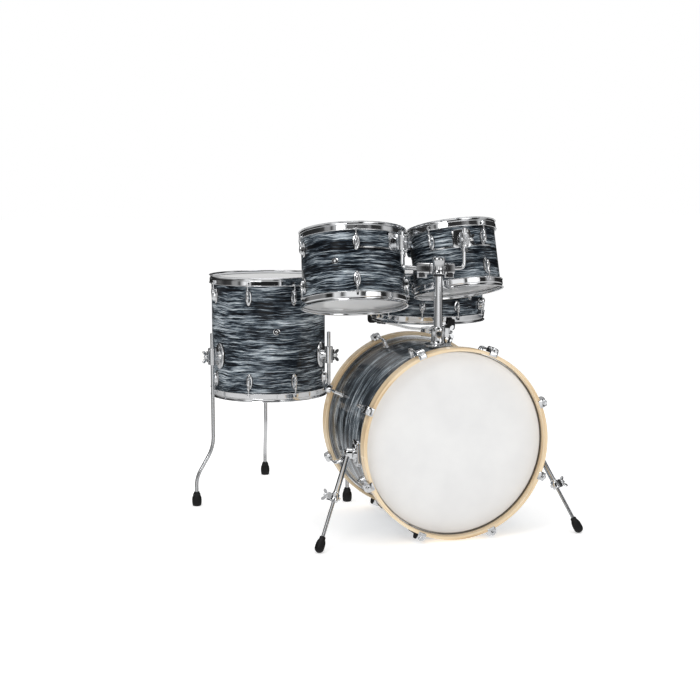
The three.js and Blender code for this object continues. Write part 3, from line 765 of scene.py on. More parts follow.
for z0, s, word in ((0.0, 1, "front"), (-BL, -1, "rear")):
    # wooden hoop, with eased edges and a thin dark line of painted shade, a darkened copy of the maple, round its inner
    # wall next to the head
    prof = [(259.7, -1.2), (260.9, 0), (268.0, 0), (269.2, -1.2), (269.2, -17.2), (268.8, -17.6), (268.8, -20.4), (269.2, -20.8), (269.2, -36.8), (268.0, -38), (260.9, -38), (259.7, -36.8), (259.7, -22.0)]
    S = Shape().lathe([(r, z0 + s * h) for r, h in prof], 192, mats=[0] * 11 + [1, 0])
    make(f"bass_{word}_wood_hoop", S, [MAPLE, HOOP_PAINTED_SHADE], "bass_drum", BM, [f"bass_{word}_hoop"], 0, 30)
    # head: film, collar and flesh hoop
    zf = z0 - s * 26
    prof = [(0, 0.0), (150, 0.0), (BR - 14, 0.0), (BR - 9, -0.5), (BR - 3, 0.2), (BR + 0.6, -0.2), (BR + 1.6, -1.6), (BR + 2.2, -4), (BR + 4.2, -4.4), (BR + 4.2, -10.8), (BR + 0.8, -10.8), (BR + 0.8, -4), (BR - 0.5, -1.1), (BR - 14, -0.8), (0, -0.8)]
    mats = [0] * len(prof)
    for i in (7, 8, 9, 10):
        mats[i] = 1
    S = Shape().lathe([(r, zf + s * h) for r, h in prof], 192, closed=False, mats=mats)
    make(f"bass_{word}_film", S, [SMOOTH if s > 0 else COATED, ALU], "bass_drum", BM, [f"bass_{word}_head"], 0, 40)
    S, T = Shape(), Shape()
    for a in bass_angles:
        ra = math.radians(a)
        er, et = Vector((math.cos(ra), math.sin(ra), 0)), Vector((-math.sin(ra), math.cos(ra), 0))
        # the claw: a bent strap over the hoop's face with a swollen ear for the rod
        out = [(261.6, -5.4), (261.6, 1.2), (263.0, 2.6), (272.0, 2.9), (279.0, 1.2), (284.6, -4.0), (286.8, -12.0), (287.2, -26.0), (285.0, -31.5), (279.5, -34.0), (270.4, -34.6), (270.3, -0.4), (263.2, -0.3), (263.0, -5.4)]
        verts, faces = [], []
        steps = [(-11.5, 1.6), (-10.4, 0.5), (-9, 0.0), (9, 0.0), (10.4, 0.5), (11.5, 1.6)]
        k = len(out)
        cr = sum(p[0] for p in out) / k
        cz = sum(p[1] for p in out) / k
        for u, inset in steps:
            for r, h in out:
                f = 1 - inset * 0.035
                v = er * (cr + (r - cr) * f if inset else r) + et * u + Vector((0, 0, z0 + s * (cz + (h - cz) * f if inset else h)))
                verts.append(tuple(v))
        for L in range(len(steps) - 1):
            for i in range(k):
                j = (i + 1) % k
                faces.append((L * k + i, L * k + j, (L + 1) * k + j, (L + 1) * k + i))
        faces.append(tuple(reversed(range(k))))
        faces.append(tuple((len(steps) - 1) * k + i for i in range(k)))
        S.add(verts, faces)
        z = Vector((0, 0, 1))
        c = er * 278
        # raised boss round the bolt, then the bolt's washer and square head, and the rod to the lug
        f0 = c + z * (z0 + s * 0.4)
        S.turn(f0, f0 + z * s, [(0, 8.2), (1.2, 8.0), (2.4, 7.0)], 24)
        T.turn(f0 + z * s * 2.0, f0 + z * s * 3, [(0, 5.8), (1.2, 5.8), (1.7, 5.2)], 20)
        T.box((6.6, 6.6, 6.5), basis(f0 + z * s * 6.2, et, z))
        T.cyl(c + z * (z0 - s * 30), c + z * (z0 - s * 84), 3.1, 14)
    make(f"bass_{word}_claws", S, [CHROME], "bass_drum", BM, [f"bass_{word}_hoop"], 0, 36)
    make(f"bass_{word}_rods", T, [CHROME], "bass_drum", BM, [f"bass_{word}_hoop"], 0.3, 36)

# ------------------------------------------------------------------ spurs
for side, name, foot in ((-1, "left", (-401, -15)), (1, "right", (367, -15))):
    p = Vector((side * 279, 125, 240))
    q = Vector((foot[0], foot[1], 6))
    d = (q - p).normalized()
    L = (q - p).length
    folded = Vector((side * 0.12, 0.99, -0.02)).normalized()
    k = (d - folded).normalized()
    n = Vector((side, 0, 0))
    n = (n - k * n.dot(k)).normalized()
    # bracket: shaped plate on the shell, four screws, toothed boss
    S = Shape()
    Mp = basis((side * 250.0, 125, 240), (0, side, 0), (side, 0, 0))
    S.plate(round_rect(50, 74, 14), 0, 9.5, Mp, 0, 2.0)
    S.plate(round_rect(38, 50, 15), 8, 13.5, Mp, 0, 2.0)
    for u in (-16, 16):
        for v in (-27, 27):
            c = Mp @ Vector((u, v, 9.0))
            S.turn(c, c + Vector((side, 0, 0)), [(0, 4.2), (1.4, 4.0), (2.2, 2.8)], 16)
    S.turn(p - n * 24, p, [(0, 18), (6, 17.2), (10.5, 16.4), (12.6, 15.6), (13.0, 15.0)], 30)
    make(f"spur_bracket_{name}_plate", S, [CAST], "bass_drum", None, [f"spur_bracket_{name}"], 0, 36)
    # tube with its pivot disc, pinch collar and slotted mouth
    S = Shape()
    S.turn(p - n * 10.4, p, [(0, 14.6), (1.0, 15.4), (16, 15.4), (18.5, 13.8), (20.5, 9.5), (21.2, 6.0)], 30)
    S.turn(p, p + d * 150, [(0, 8.4), (24, 8.4), (30, 7.8), (118, 7.8), (121, 8.6), (124, 8.6), (126, 7.8), (127, 10.2), (129, 11.2), (148, 11.2), (150, 10.2)], 26)
    side_v = d.cross(n).normalized()
    out_v = (n - d * n.dot(d)).normalized()
    c = p + d * 139
    S.box((9, 16, 20), basis(c + out_v * 11, side_v, d))
    S.box((1.2, 18, 24), basis(c + out_v * 12.5, side_v, d))
    make(f"spur_tube_{name}_outer", S, [CHROME], f"spur_{name}", None, [f"spur_tube_{name}"], 0.4, 36)
    S = Shape()
    wing(S, c + out_v * 17, out_v, d, 0.85, 4.0)
    S.turn(c - out_v * 16, c, [(0, 4.4), (1, 5.2), (5, 5.2)], 6)
    make(f"spur_wing_screw_{name}_screw", S, [CHROME], f"spur_{name}", None, [f"spur_wing_screw_{name}"], 0, 36)
    S = Shape()
    rings = [(0, 4.0), (1, 4.8)]
    t0, t1 = 60.0, (L - 20) - 105
    S.cyl(p + d * 105, p + d * (L - 26), 4.9, 20, 0, 0.6)
    make(f"spur_rod_{name}_inner", S, [STEEL], f"spur_rod_{name}", None, [f"spur_rod_{name}"], 0, 36)
    # rubber foot: a ribbed bulb standing on the floor
    ball_r = 13.2
    t_c = (p.z - ball_r) / -d.z  # along the rod to the bulb's centre
    top = t_c - 34
    rings = [(0, 6.2), (1.2, 8.0), (4, 8.6), (6, 8.4), (9, 9.2), (12, 10.8), (17, 12.4), (24, 13.2), (34, 13.2)]
    for i in range(1, 9):
        a = math.radians(90 * i / 8)
        rings.append((34 + ball_r * math.sin(a), ball_r * math.cos(a)))
    S = Shape().turn(p + d * top, p + d * t_c, rings, 28)
    make(f"spur_foot_{name}_rubber", S, [RUBBER], f"spur_rod_{name}", None, [f"spur_foot_{name}"], 0, 40)

# ------------------------------------------------------------------ tom holder
PX, PY = 0.0, 172.0
S = Shape()
# saddle flange, following the shell
nx, ny = 18, 14
verts, faces = [], []
for lay in (0, 1):
    for i in range(nx + 1):
        for j in range(ny + 1):
            u, v = -1 + 2 * i / nx, -1 + 2 * j / ny
            kx = 35 * u * math.sqrt(1 - 0.18 * v * v)
            ky = 41 * v * math.sqrt(1 - 0.18 * u * u)
            edge = max(abs(u), abs(v))
            base = 273.2 + 0.0087 * 172 + math.sqrt(BR * BR - kx * kx) + 0.3
            h = 0.0 if lay == 0 else (3.5 + 5.5 * (1 - edge**4))
            verts.append((kx, PY + ky, base + h))
w = (nx + 1) * (ny + 1)
for i in range(nx):
    for j in range(ny):
        a = i * (ny + 1) + j
        b, c, dd = a + ny + 1, a + ny + 2, a + 1
        faces.append((a, dd, c, b))
        faces.append((w + a, w + b, w + c, w + dd))
rim = [i * (ny + 1) for i in range(nx + 1)] + [nx * (ny + 1) + j for j in range(1, ny + 1)] + [i * (ny + 1) + ny for i in range(nx - 1, -1, -1)] + [j for j in range(ny - 1, 0, -1)]
for i in range(len(rim)):
    a, b = rim[i], rim[(i + 1) % len(rim)]
    faces.append((a, b, w + b, w + a))
S.add(verts, faces)
S.turn((PX, PY, 530), (PX, PY, 583), [(0, 26), (5, 23.5), (9, 21.5), (14, 20.2), (36, 20.2), (38, 21), (51, 21), (53, 19.8), (53, 13.6)], 40)
S.box((16, 22, 26), Matrix.Translation((PX + 21, PY, 566)))
for u in (-25, 25):
    for v in (-30, 30):
        zz = 273.2 + 1.5 + math.sqrt(BR * BR - u * u) + 6
        S.turn((u, PY + v, zz - 3), (u, PY + v, zz), [(0, 5.2), (2.2, 5.2), (3.4, 4.0), (3.8, 2.0)], 16)
make("tom_mount_socket", S, [CAST], "bass_drum", None, ["tom_mount_base"], 0.5, 36)
S = Shape()
wing(S, (PX + 29.5, PY, 566), (1, 0, 0), (0, 0.2, 1), 0.95, 3.0)
make("tom_mount_wing", S, [CHROME], "bass_drum", None, ["tom_mount_wing_screw"], 0, 36)
S = Shape().turn((PX, PY, 452), (PX, PY, 768), [(0, 11.5), (1.2, 12.7), (314.5, 12.7), (316, 11.6)], 40)
make("tom_post_tube", S, [CHROME], "tom_post", None, ["tom_post"], 0, 36)

AH = 748.0
arms = {"left": (Vector((-11, 187, AH)), Vector((-86, 246, AH)), 852.0, 62.0), "right": (Vector((17, 175.6, AH)), Vector((82, 187, AH)), 862.0, 46.0)}
S = Shape()
S.turn((PX, PY, 733), (PX, PY, 783), [(0, 17.5), (1.5, 19.5), (8, 19.8), (10, 18.6), (12, 18.2), (36, 18.2), (38, 19.6), (44, 19.6), (47.5, 17.5), (49.5, 12), (50, 4)], 40)
for name, (p0, q0, top, reach) in arms.items():
    d = (q0 - p0).normalized()
    c = Vector((PX, PY, AH))
    side_v = Vector((-d.y, d.x, 0))
    mid = c + d * ((10 + reach) / 2)
    Mx = basis(c + d * 10, (0, 0, 1), d)
    S.plate(round_rect(34, 28, 9), 0, reach - 10, Mx, 0, 2.2)
    # split clamp ears with two key bolts
    e = c + d * (reach - 14)
    S.box((11, 30, 17), basis(e + Vector((0, 0, -18)), side_v, Vector((0, 0, 1))))
    for u in (-4.5, 4.5):
        key_bolt(S, e + d * u * 0 + Vector((0, 0, -18 + u)) + side_v * 5.0, side_v, 4.0, 5.2)
    S.turn(c + d * (reach - 3), c + d * (reach + 2), [(0, 12.5), (3, 12.5), (4.5, 10.8), (4.5, 6.4)], 30)
make("tom_holder_casting", S, [CAST], "tom_holder", None, ["tom_holder_head"], 0.7, 36)
S = Shape()
for name, (p0, q0, top, reach) in arms.items():
    d = (q0 - p0).normalized()
    c = Vector((PX, PY, AH))
    side_v = Vector((-d.y, d.x, 0))
    S.plate(round_rect(35.6, 29.6, 9), 0, 2.6, basis(c + d * 20.5, (0, 0, 1), d), 0, 0.4)
    S.box((1.5, 29.4, reach - 26), basis(c + d * (24 + (reach - 26) / 2) + Vector((0, 0, -6.5)), (0, 0, 1), d))
    e = c + d * (reach - 14)
    S.box((12.2, 6.0, 12), basis(e + Vector((0, 0, -18)) + side_v * 12.6, d, (0, 0, 1)))
    S.box((12.2, 6.0, 12), basis(e + Vector((0, 0, -18)) - side_v * 12.6, d, (0, 0, 1)))
S.turn((PX, PY, 744), (PX, PY, 747), [(0, 18.9), (2.2, 18.9)], 40)
S.turn((PX, PY, 727), (PX, PY, 734), [(0, 14.2), (1, 15.2), (6, 15.2)], 40)
make("tom_holder_joints", S, [DARK], "tom_holder", None, ["tom_holder_head"], 0.2, 36)
for name, (p0, q0, top, reach) in arms.items():
    d = (q0 - p0).normalized()
    c = Vector((PX, PY, AH))
    pts = rounded([c + d * 28, q0, Vector((q0.x, q0.y, top))], 15, 8)
    S = Shape().sweep(pts, 6.0, 22)
    S.turn(Vector((q0.x, q0.y, top - 0.2)), Vector((q0.x, q0.y, top + 3)), [(0, 6.0), (1.2, 5.4), (1.8, 3.8)], 22)
    # memory collar under the bracket
    zc = top - 32 - 28
    S.turn((q0.x, q0.y, zc - 6), (q0.x, q0.y, zc + 6), [(0, 9.2), (0.8, 10), (9, 10), (9.8, 9.2)], 26)
    S.box((7, 9, 9), basis((q0.x + d.y * 12, q0.y - d.x * 12, zc - 1.5), d, (0, 0, 1)))
    make(f"tom_arm_{name}_rod", S, [CHROME], f"tom_arm_{name}", None, [f"tom_arm_{name}"], 0, 36)

# ------------------------------------------------------------------ mounted toms
TOMS = {
    "tom_large": dict(centre=(-195, 375, 735), up=(0.036, 0.241, 0.97), dia=304.8, depth=203.2, first=-101.6, arm="left", seed=0.4, badge=(-125, 2, 10)),
    "tom_small": dict(centre=(107, 334, 763), up=(-0.05, 0.238, 0.97), dia=254.0, depth=177.8, first=-139.0, arm="right", seed=1.3, badge=None),
}
for prefix, t in TOMS.items():
    M = small_drum(prefix, prefix, t["centre"], t["up"], t["dia"], t["depth"], 5, t["first"], 46, t["seed"], t["badge"])
    p0, q0, top, reach = arms[t["arm"]]
    zc = top - 32
    kk = (zc - t["centre"][2]) / t["up"][2]
    c = Vector((t["centre"][0] + t["up"][0] * kk, t["centre"][1] + t["up"][1] * kk, zc))
    r = Vector((q0.x, q0.y, zc))
    d = (c - r).normalized()
    tan = Vector((-d.y, d.x, 0))
    reach_mm = (c - r).length - t["dia"] / 2
    S = Shape()
    # clamp barrel round the upright, neck, and the flange on the drum
    S.turn(r - Vector((0, 0, 21)), r + Vector((0, 0, 21)), [(0, 11.5), (1.4, 13), (40, 13), (42, 11.5)], 32)
    Mn = basis(r + d * 6, tan, d)
    S.plate(round_rect(22, 34, 7), 0, reach_mm - 2, Mn, 0, 1.0)
    # the two ears of the split clamp, facing out, with the bolt across them
    for u in (-4.6, 4.6):
        S.box((6.0, 15, 30), basis(r - d * 15.0 + tan * u, tan, (0, 0, 1)))
    S.cyl(r - d * 17 - tan * 11, r - d * 17 + tan * 9, 3.4, 14)
    S.turn(r - d * 17 + tan * 8, r - d * 17 + tan * 13, [(0, 5.6), (3.6, 5.6), (4.2, 5.0)], 6)
    # curved mounting plate, standing off the shell between its lugs
    inv = in_metres(Matrix.Identity(4))
    Rr = t["dia"] / 2
    Mi = M.copy()
    Mi.translation = Vector(t["centre"])
    loc = Mi.inverted() @ (c - d * Rr)
    a0 = math.degrees(math.atan2(loc.y, loc.x))
    z0 = loc.z
    verts, faces = [], []
    cols = 16
    for lay, rr in enumerate((Rr + 1.6, Rr + 5.0)):
        for i in range(cols + 1):
            u = -1 + 2 * i / cols
            half = 27 - 5 * abs(u) ** 6
            a = math.radians(a0 + u * math.degrees(27 / Rr))
            for v in (-1, -0.9, 0.9, 1):
                rad = rr - (0.8 if lay and abs(v) == 1 else 0)
                verts.append(tuple(Mi @ Vector((rad * math.cos(a), rad * math.sin(a), z0 + v * half))))
    per = 4
    w = (cols + 1) * per
    for i in range(cols):
        for j in range(per - 1):
            a = i * per + j
            faces.append((a, a + 1, a + per + 1, a + per))
            faces.append((w + a, w + a + per, w + a + per + 1, w + a + 1))
        faces.append((i * per, (i + 1) * per, w + (i + 1) * per, w + i * per))
        faces.append((i * per + per - 1, w + i * per + per - 1, w + (i + 1) * per + per - 1, (i + 1) * per + per - 1))
    for i in (0, cols):
        f = [i * per + j for j in range(per)] + [w + i * per + j for j in reversed(range(per))]
        faces.append(tuple(f))
    S.add(verts, faces)
    # thin steel strap from the plate to the lugs each side
    zs = z0 - 22
    a1, a2 = a0 - 46, a0 + 46
    verts, faces = [], []
    cols = 40
    for i in range(cols + 1):
        a = math.radians(a1 + (a2 - a1) * i / cols)
        for rad, zz in ((Rr + 2.2, zs - 1.8), (Rr + 3.6, zs - 1.8), (Rr + 3.6, zs + 1.8), (Rr + 2.2, zs + 1.8)):
            verts.append(tuple(Mi @ Vector((rad * math.cos(a), rad * math.sin(a), zz))))
    for i in range(cols):
        for j in range(4):
            jj = (j + 1) % 4
            faces.append((i * 4 + j, i * 4 + jj, (i + 1) * 4 + jj, (i + 1) * 4 + j))
    faces.append((3, 2, 1, 0))
    faces.append(tuple(cols * 4 + j for j in range(4)))
    S.add(verts, faces)
    make(prefix + "_bracket_clamp", S, [CAST], prefix, None, [prefix + "_bracket"], 0.5, 36)
    W = Shape()
    wing(W, r - d * 17 - tan * 10, -tan, (d * 0.2 + Vector((0, 0, 1))).normalized(), 0.8, 2.0)
    make(prefix + "_bracket_wing", W, [CHROME], prefix, None, (), 0, 36)

# ------------------------------------------------------------------ floor tom
FC = (-385, 690, 516)
FM = small_drum("floor_tom", "floor_tom", FC, (0, 0, 1), 355.6, 355.6, 8, -121.4, 48, 2.2, (-94, 25, 11))
R = 177.8
LEG_R, FOOT_R = 208.0, 270.0
for i, a in enumerate((201.5, 81.5, 321.5)):
    n = i + 1
    ra = math.radians(a)
    er, et = Vector((math.cos(ra), math.sin(ra), 0)), Vector((-math.sin(ra), math.cos(ra), 0))
    c0 = Vector((FC[0], FC[1], 0))

    def P(r, z, u=0.0):
        return c0 + er * r + et * u + Vector((0, 0, z))

    S, G = Shape(), Shape()
    Mp = basis(P(R - 0.8, 459.5), et, er)
    oval = [(21.5 * math.cos(2 * math.pi * k / 40), 40.5 * math.sin(2 * math.pi * k / 40)) for k in range(40)]
    G.plate([(x * 1.05, y * 1.03) for x, y in oval], -1, 2.2, Mp, 0)
    S.plate(oval, 0, 7.5, Mp, 0, 3.0)
    S.turn(P(R + 2, 460), P(R + 40, 460), [(0, 17), (6, 15.5), (10, 14), (18, 13.2), (24, 12.6)], 30)
    S.turn(P(LEG_R, 434), P(LEG_R, 486), [(0, 11.4), (1.6, 12.8), (50.4, 12.8), (52, 11.4)], 32)
    S.box((16, 12, 34), basis(P(LEG_R + 9, 460), er, (0, 0, 1)))
    for v in (-26, 26):
        S.turn(P(R + 3.5, 460 + v), P(R + 9, 460 + v), [(0, 4.6), (3.2, 4.4), (4.4, 3.0)], 18)
    make(f"floor_tom_leg_bracket_{n}", S, [CAST], "floor_tom", None, ["floor_tom_shell"], 0.4, 38)
    make(f"floor_tom_leg_gasket_{n}", G, [RUBBER], "floor_tom", None, (), 0, 38)
    W = Shape()
    wing(W, P(LEG_R + 15, 460), er, (0, 0, 1) if i != 2 else (0, 0, 1), 0.95, 3.0)
    make(f"floor_tom_wing_{n}", W, [CHROME], "floor_tom", None, [f"floor_tom_wing_screw_{n}"], 0, 38)
    pts = rounded([P(LEG_R, 531), P(LEG_R, 176), P(FOOT_R, 88), P(FOOT_R, 30)], 34, 8)
    S = Shape().sweep(pts, 5.5, 20)
    S.turn(P(LEG_R, 530.5), P(LEG_R, 534), [(0, 5.5), (1.2, 4.6), (1.6, 2.6)], 20)
    make(f"floor_tom_leg_{n}_rod", S, [STEEL], f"floor_tom_leg_{n}", None, [f"floor_tom_leg_{n}"], 0, 38)
    F = Shape().turn(P(FOOT_R, 0), P(FOOT_R, 46), [(0, 11.0), (0.8, 12.6), (3, 13.6), (12, 14.8), (20, 14.9), (27, 14.0), (31, 12.2), (33, 11.2), (34.5, 11.6), (37, 11.4), (38.5, 9.8), (41, 9.0), (43.5, 8.6), (44, 7.4)], 30)
    make(f"floor_tom_foot_{n}_rubber", F, [RUBBER], f"floor_tom_leg_{n}", None, [f"floor_tom_foot_{n}"], 0, 38)

# ------------------------------------------------------------------ snare drum
SC = (145, 690, 630)
SM = small_drum("snare", "snare", SC, (0, 0, 1), 355.6, 139.7, 10, -113.9, 37, 4.6, (-60, 0, 9))
H = 69.85
sa = 192.1
ra = math.radians(sa)
er, et = Vector((math.cos(ra), math.sin(ra), 0)), Vector((-math.sin(ra), math.cos(ra), 0))


def Q(r, z, u=0.0):
    return er * r + et * u + Vector((0, 0, z))


S = Shape()
Mp = basis(Q(R - 0.6, -4), et, er)
S.plate(round_rect(28, 60, 9), 0, 6, Mp, 0, 2.0)
S.plate(round_rect(24, 50, 8), 5, 20, basis(Q(R, -4), et, er), 0, 3.5)
for u in (-11.4, 11.4):
    S.box((4.6, 11, 13), basis(Q(R + 20.5, -31, u), et, (0, 0, 1)))
S.turn(Q(R + 13, 22), Q(R + 13, 38), [(0, 5.5), (1, 6.5), (3, 6.8), (4, 6.0), (5, 6.8), (7, 6.8), (8, 6.0), (9, 6.8), (11, 6.6), (12, 5.0)], 24)
S.plate(round_rect(26, 40, 6), R + 9.4, R + 20.6, basis(Q(0, -50), et, er), 0, 2.4)
S.plate(round_rect(22, 26, 5), R + 19, R + 24.5, basis(Q(0, -52), et, er), 0, 2.0)
make("snare_strainer_body", S, [DARK], "snare", SM, ["snare_strainer"], 0.5, 38)
S = Shape()
S.plate(round_rect(31, 63, 10), R - 0.9, R + 1.6, basis(Q(0, -4), et, er), 0, 0.8)
for u in (-14, 14):
    S.box((1.6, 12, 40), basis(Q(R + 15, -50, u), et, (0, 0, 1)))
for z in (20, -27):
    S.turn(Q(R + 4, z), Q(R + 24, z), [(0, 4.6), (18.5, 4.6), (20, 3.6)], 18)
make("snare_strainer_trim", S, [CHROME], "snare", SM, ["snare_strainer"], 0.3, 38)
S = Shape()
S.turn(Q(R + 26, -31, -8.6), Q(R + 26, -31, 8.6), [(0, 4.4), (0.6, 4.9), (16.6, 4.9), (17.2, 4.4)], 24)
pts = []
verts, faces = [], []
prof_l = [(-31, 25.6, 7.4), (-22, 26.0, 7.2), (-8, 26.2, 6.0), (8, 26.2, 6.0), (20, 26.6, 7.0), (28, 27.6, 7.8), (33, 29.0, 7.6), (35, 30.4, 6.2)]
for z, r, hw in prof_l:
    for u, rr in ((-hw, -2.2), (-hw * 0.8, 1.6), (hw * 0.8, 1.6), (hw, -2.2)):
        verts.append(tuple(Q(R + r + rr, z, u)))
for k in range(len(prof_l) - 1):
    for j in range(4):
        jj = (j + 1) % 4
        faces.append((k * 4 + j, k * 4 + jj, (k + 1) * 4 + jj, (k + 1) * 4 + j))
faces.append((3, 2, 1, 0))
faces.append(tuple((len(prof_l) - 1) * 4 + j for j in range(4)))
S.add(verts, faces)
make("snare_lever_handle", S, [CHROME], "snare_lever", SM, ["snare_throw_off_lever"], 0.6, 38)
S = Shape()
S.plate(round_rect(30, 30, 7), 0, 5, basis(-er * (R - 0.6) + Vector((0, 0, -21)), -et, -er), 0, 1.6)
S.plate(round_rect(24, 16, 5), 4, 13, basis(-er * (R - 0.6) + Vector((0, 0, -24)), -et, -er), 0, 2.6)
for u in (-7, 7):
    c = -er * (R + 12) + et * u + Vector((0, 0, -24))
    S.turn(c, c - er, [(0, 3.6), (1.6, 3.6), (2.2, 2.8)], 16)
make("snare_butt_plate_body", S, [CAST], "snare", SM, ["snare_butt_plate"], 0.4, 38)
S = Shape()
for sgn in (1, -1):
    S.box((16, 42, 1.1), basis(er * sgn * 153 + Vector((0, 0, -H - 2.9)), er, (0, 0, 1)))
    S.box((26, 26, 0.5), basis(er * sgn * 166 + Vector((0, 0, -H - 2.6)), er, (0, 0, 1)))
steps = 130
for k in range(20):
    u = -19 + 2 * k
    pts = []
    for i in range(steps + 1):
        x = -148 + 296 * i / steps
        ph = i * math.pi / 2
        pts.append(er * x + et * (u + 0.62 * math.cos(ph)) + Vector((0, 0, -H - 2.9 + 0.55 * math.sin(ph))))
    S.sweep(pts, 0.32, 4)
make("snare_wire_strands", S, [STEEL], "snare_wire_set", SM, ["snare_wires"], 0, 60)

# ------------------------------------------------------------------ snare stand
TX, TY = 145.0, 690.0
c0 = Vector((TX, TY, 0))
S, Fe, Wg = Shape(), Shape(), Shape()
S.turn(c0 + Vector((0, 0, 60)), c0 + Vector((0, 0, 338)), [(0, 11.6), (1, 12.7), (277, 12.7), (278, 10.6)], 32)
S.turn(c0 + Vector((0, 0, 58)), c0 + Vector((0, 0, 86)), [(0, 15), (2, 18), (26, 18), (28, 15), (28, 12.6)], 32)
S.turn(c0 + Vector((0, 0, 224)), c0 + Vector((0, 0, 264)), [(0, 15), (2, 18.4), (12, 18.4), (14, 17), (26, 17), (28, 18.4), (38, 18.4), (40, 15), (40, 12.6)], 32)
S.turn(c0 + Vector((0, 0, 306)), c0 + Vector((0, 0, 340)), [(0, 13), (2, 16.5), (32, 16.5), (34, 14.5), (34, 10.6)], 32)
wing(Wg, c0 + Vector((16, 0, 322)), (1, 0, 0), (0, 0, 1), 0.95, 5)
wing(Wg, c0 + Vector((-14, -9, 245)), (-0.85, -0.5, 0), (0, 0, 1), 0.9, 5)
for a in (90, 210, 330):
    ra = math.radians(a)
    e1, e2 = Vector((math.cos(ra), math.sin(ra), 0)), Vector((-math.sin(ra), math.cos(ra), 0))
    for u in (-6.5, 6.5):
        p, q = c0 + e1 * 19 + e2 * u + Vector((0, 0, 246)), c0 + e1 * 224 + e2 * u + Vector((0, 0, 18))
        d = (q - p).normalized()
        S.box((2.6, 15, (q - p).length), basis((p + q) / 2, e2, d))
        p, q = c0 + e1 * 19 + e2 * u * 0.55 + Vector((0, 0, 72)), c0 + e1 * 130 + e2 * u * 0.55 + Vector((0, 0, 118))
        d = (q - p).normalized()
        S.box((2.4, 12, (q - p).length + 8), basis((p + q) / 2, e2, d))
    for r, z in ((20, 246), (130, 121), (20, 72), (222, 20)):
        S.cyl(c0 + e1 * r + e2 * -10 + Vector((0, 0, z)), c0 + e1 * r + e2 * 10 + Vector((0, 0, z)), 3.6, 16, 0, 0.6)
    Fe.turn(c0 + e1 * 232, c0 + e1 * 232 + Vector((0, 0, 1)), [(0, 9.0), (1, 10.4), (9, 11.2), (16, 10.6), (21, 8.6), (24, 5)], 26)
    Fe.box((20, 19, 20), basis(c0 + e1 * 224 + Vector((0, 0, 17)), e2, e1.lerp(Vector((0, 0, 1)), 0.45)))
make("snare_stand_legs", S, [CHROME], "snare_stand", None, ["snare_stand_tripod"], 0.5, 38)
make("snare_stand_feet", Fe, [RUBBER], "snare_stand", None, (), 2.0, 50)
make("snare_stand_wing_screws", Wg, [CHROME], "snare_stand", None, (), 0, 38)
PV = 486.0
S = Shape()
S.turn(c0 + Vector((0, 0, 150)), c0 + Vector((0, 0, PV - 20)), [(0, 8.8), (1, 9.5), (PV - 171, 9.5), (PV - 170, 9.5)], 30)
S.turn(c0 + Vector((0, 0, PV - 44)), c0 + Vector((0, 0, PV - 16)), [(0, 10), (3, 13.5), (22, 15.5), (28, 15.5)], 32)
S.box((38, 26, 14), basis(c0 + Vector((0, 0, PV - 23.5)), (1, 0, 0), (0, 0, 1)))
for sx in (-1, 1):
    M0 = basis(c0 + Vector((sx * 13.1, 0, PV - 3)), (0, 1, 0), (sx, 0, 0))
    cheek = [(13 * math.cos(math.radians(t)), 3 + 13 * math.sin(math.radians(t))) for t in range(0, 181, 15)] + [(-13, -18), (13, -18)]
    flip = (M0.to_3x3() @ Vector((0, 1, 0))).z < 0
    if flip:
        cheek = [(x, -y) for x, y in reversed(cheek)]
    S.plate(cheek, 0, 5.9, M0, 0, 1.2)
wing(S, c0 + Vector((19, 0, PV)), (1, 0, 0), (0, 0, 1), 0.9, 4)
S.turn(c0 + Vector((-22.5, 0, PV)), c0 + Vector((-17, 0, PV)), [(0, 6.6), (3.6, 7.2)], 6)
make("snare_stand_upper_tube", S, [CHROME], "snare_stand_post", None, ["snare_stand_post"], 0.4, 38)
S, T = Shape(), Shape()
S.turn(c0 + Vector((-12.4, 0, PV)), c0 + Vector((12.4, 0, PV)), [(0, 11), (1, 12), (3, 12), (4, 11), (20.8, 11), (21.8, 12), (23.8, 12), (24.8, 11)], 32)
S.turn(c0 + Vector((0, 0, PV)), c0 + Vector((0, 0, PV + 36)), [(0, 8.8), (14, 9.5), (18, 17), (20, 22), (32, 22), (34, 20), (36, 9)], 36)
hb = 630 - H - 12
Rh = R + 6
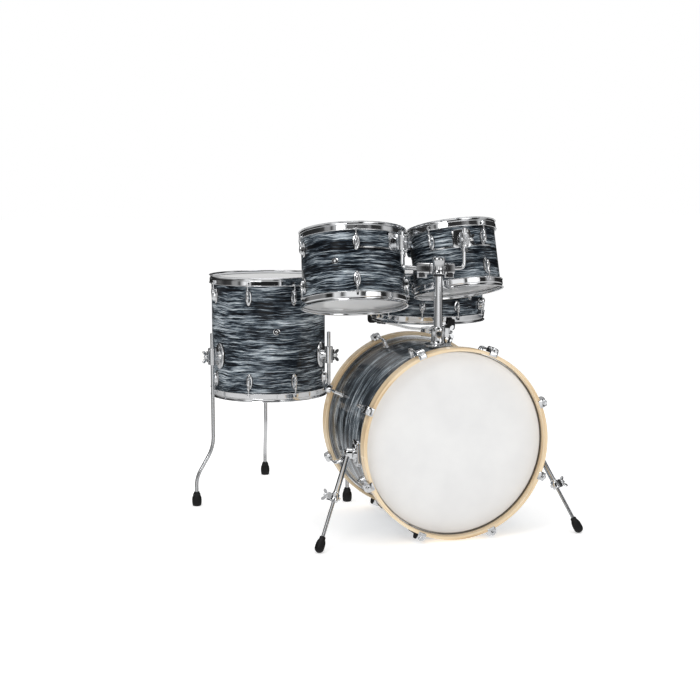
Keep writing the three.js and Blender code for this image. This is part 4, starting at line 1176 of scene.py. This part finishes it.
for a in (-86, 42, 154):
    ra = math.radians(a)
    e1, e2 = Vector((math.cos(ra), math.sin(ra), 0)), Vector((-math.sin(ra), math.cos(ra), 0))

    def B(r, z):
        return c0 + e1 * r + Vector((0, 0, z))

    pts = rounded([B(14, PV + 27), B(60, PV + 30), B(132, hb - 15.5), B(Rh - 20, hb - 9.5)], 16, 6)
    S.sweep(pts, 5.2, 18)
    # rubber gripper: a moulded cradle under the rim, with a horn outside it
    out = [(Rh - 24, hb - 5.5), (Rh - 20, hb - 13), (Rh - 6, hb - 16.5), (Rh + 6, hb - 16.5), (Rh + 12.5, hb - 12), (Rh + 14, hb - 4), (Rh + 14, hb + 12), (Rh + 12.4, hb + 17), (Rh + 8.6, hb + 18.5), (Rh + 5.6, hb + 16), (Rh + 4.0, hb + 9), (Rh + 3.4, hb + 1.0), (Rh + 1.6, hb - 1.2), (Rh - 8, hb - 1.6), (Rh - 20, hb - 2.2)]
    k = len(out)
    cr = sum(p[0] for p in out) / k
    cz = sum(p[1] for p in out) / k
    verts, faces = [], []
    steps = [(-11.0, 0.86), (-10.4, 0.93), (-9.0, 0.985), (-7.2, 1.0), (7.2, 1.0), (9.0, 0.985), (10.4, 0.93), (11.0, 0.86)]
    for u, f in steps:
        for r, z in out:
            verts.append(tuple(c0 + e1 * (cr + (r - cr) * f) + e2 * u + Vector((0, 0, cz + (z - cz) * f))))
    for L in range(len(steps) - 1):
        for i in range(k):
            jn = (i + 1) % k
            faces.append((L * k + i, L * k + jn, (L + 1) * k + jn, (L + 1) * k + i))
    faces.append(tuple(reversed(range(k))))
    faces.append(tuple((len(steps) - 1) * k + i for i in range(k)))
    T.add(verts, faces)
    # ribs round the sleeve where the arm enters the rubber
    p, q = B(Rh - 46, hb - 14.2), B(Rh - 16, hb - 10.0)
    T.turn(p, q, [(0, 6.4), (1, 7.4), (5, 7.4), (6, 6.8), (8, 6.8), (9, 7.8), (13, 7.8), (14, 7.2), (16, 7.2), (17, 8.4), (29, 8.8)], 20)
make("snare_stand_basket_arms", S, [CHROME], "snare_basket", None, ["snare_stand_basket"], 0, 38)
make("snare_stand_basket_grips", T, [RUBBER], "snare_basket", None, ["snare_stand_basket"], 0, 45)
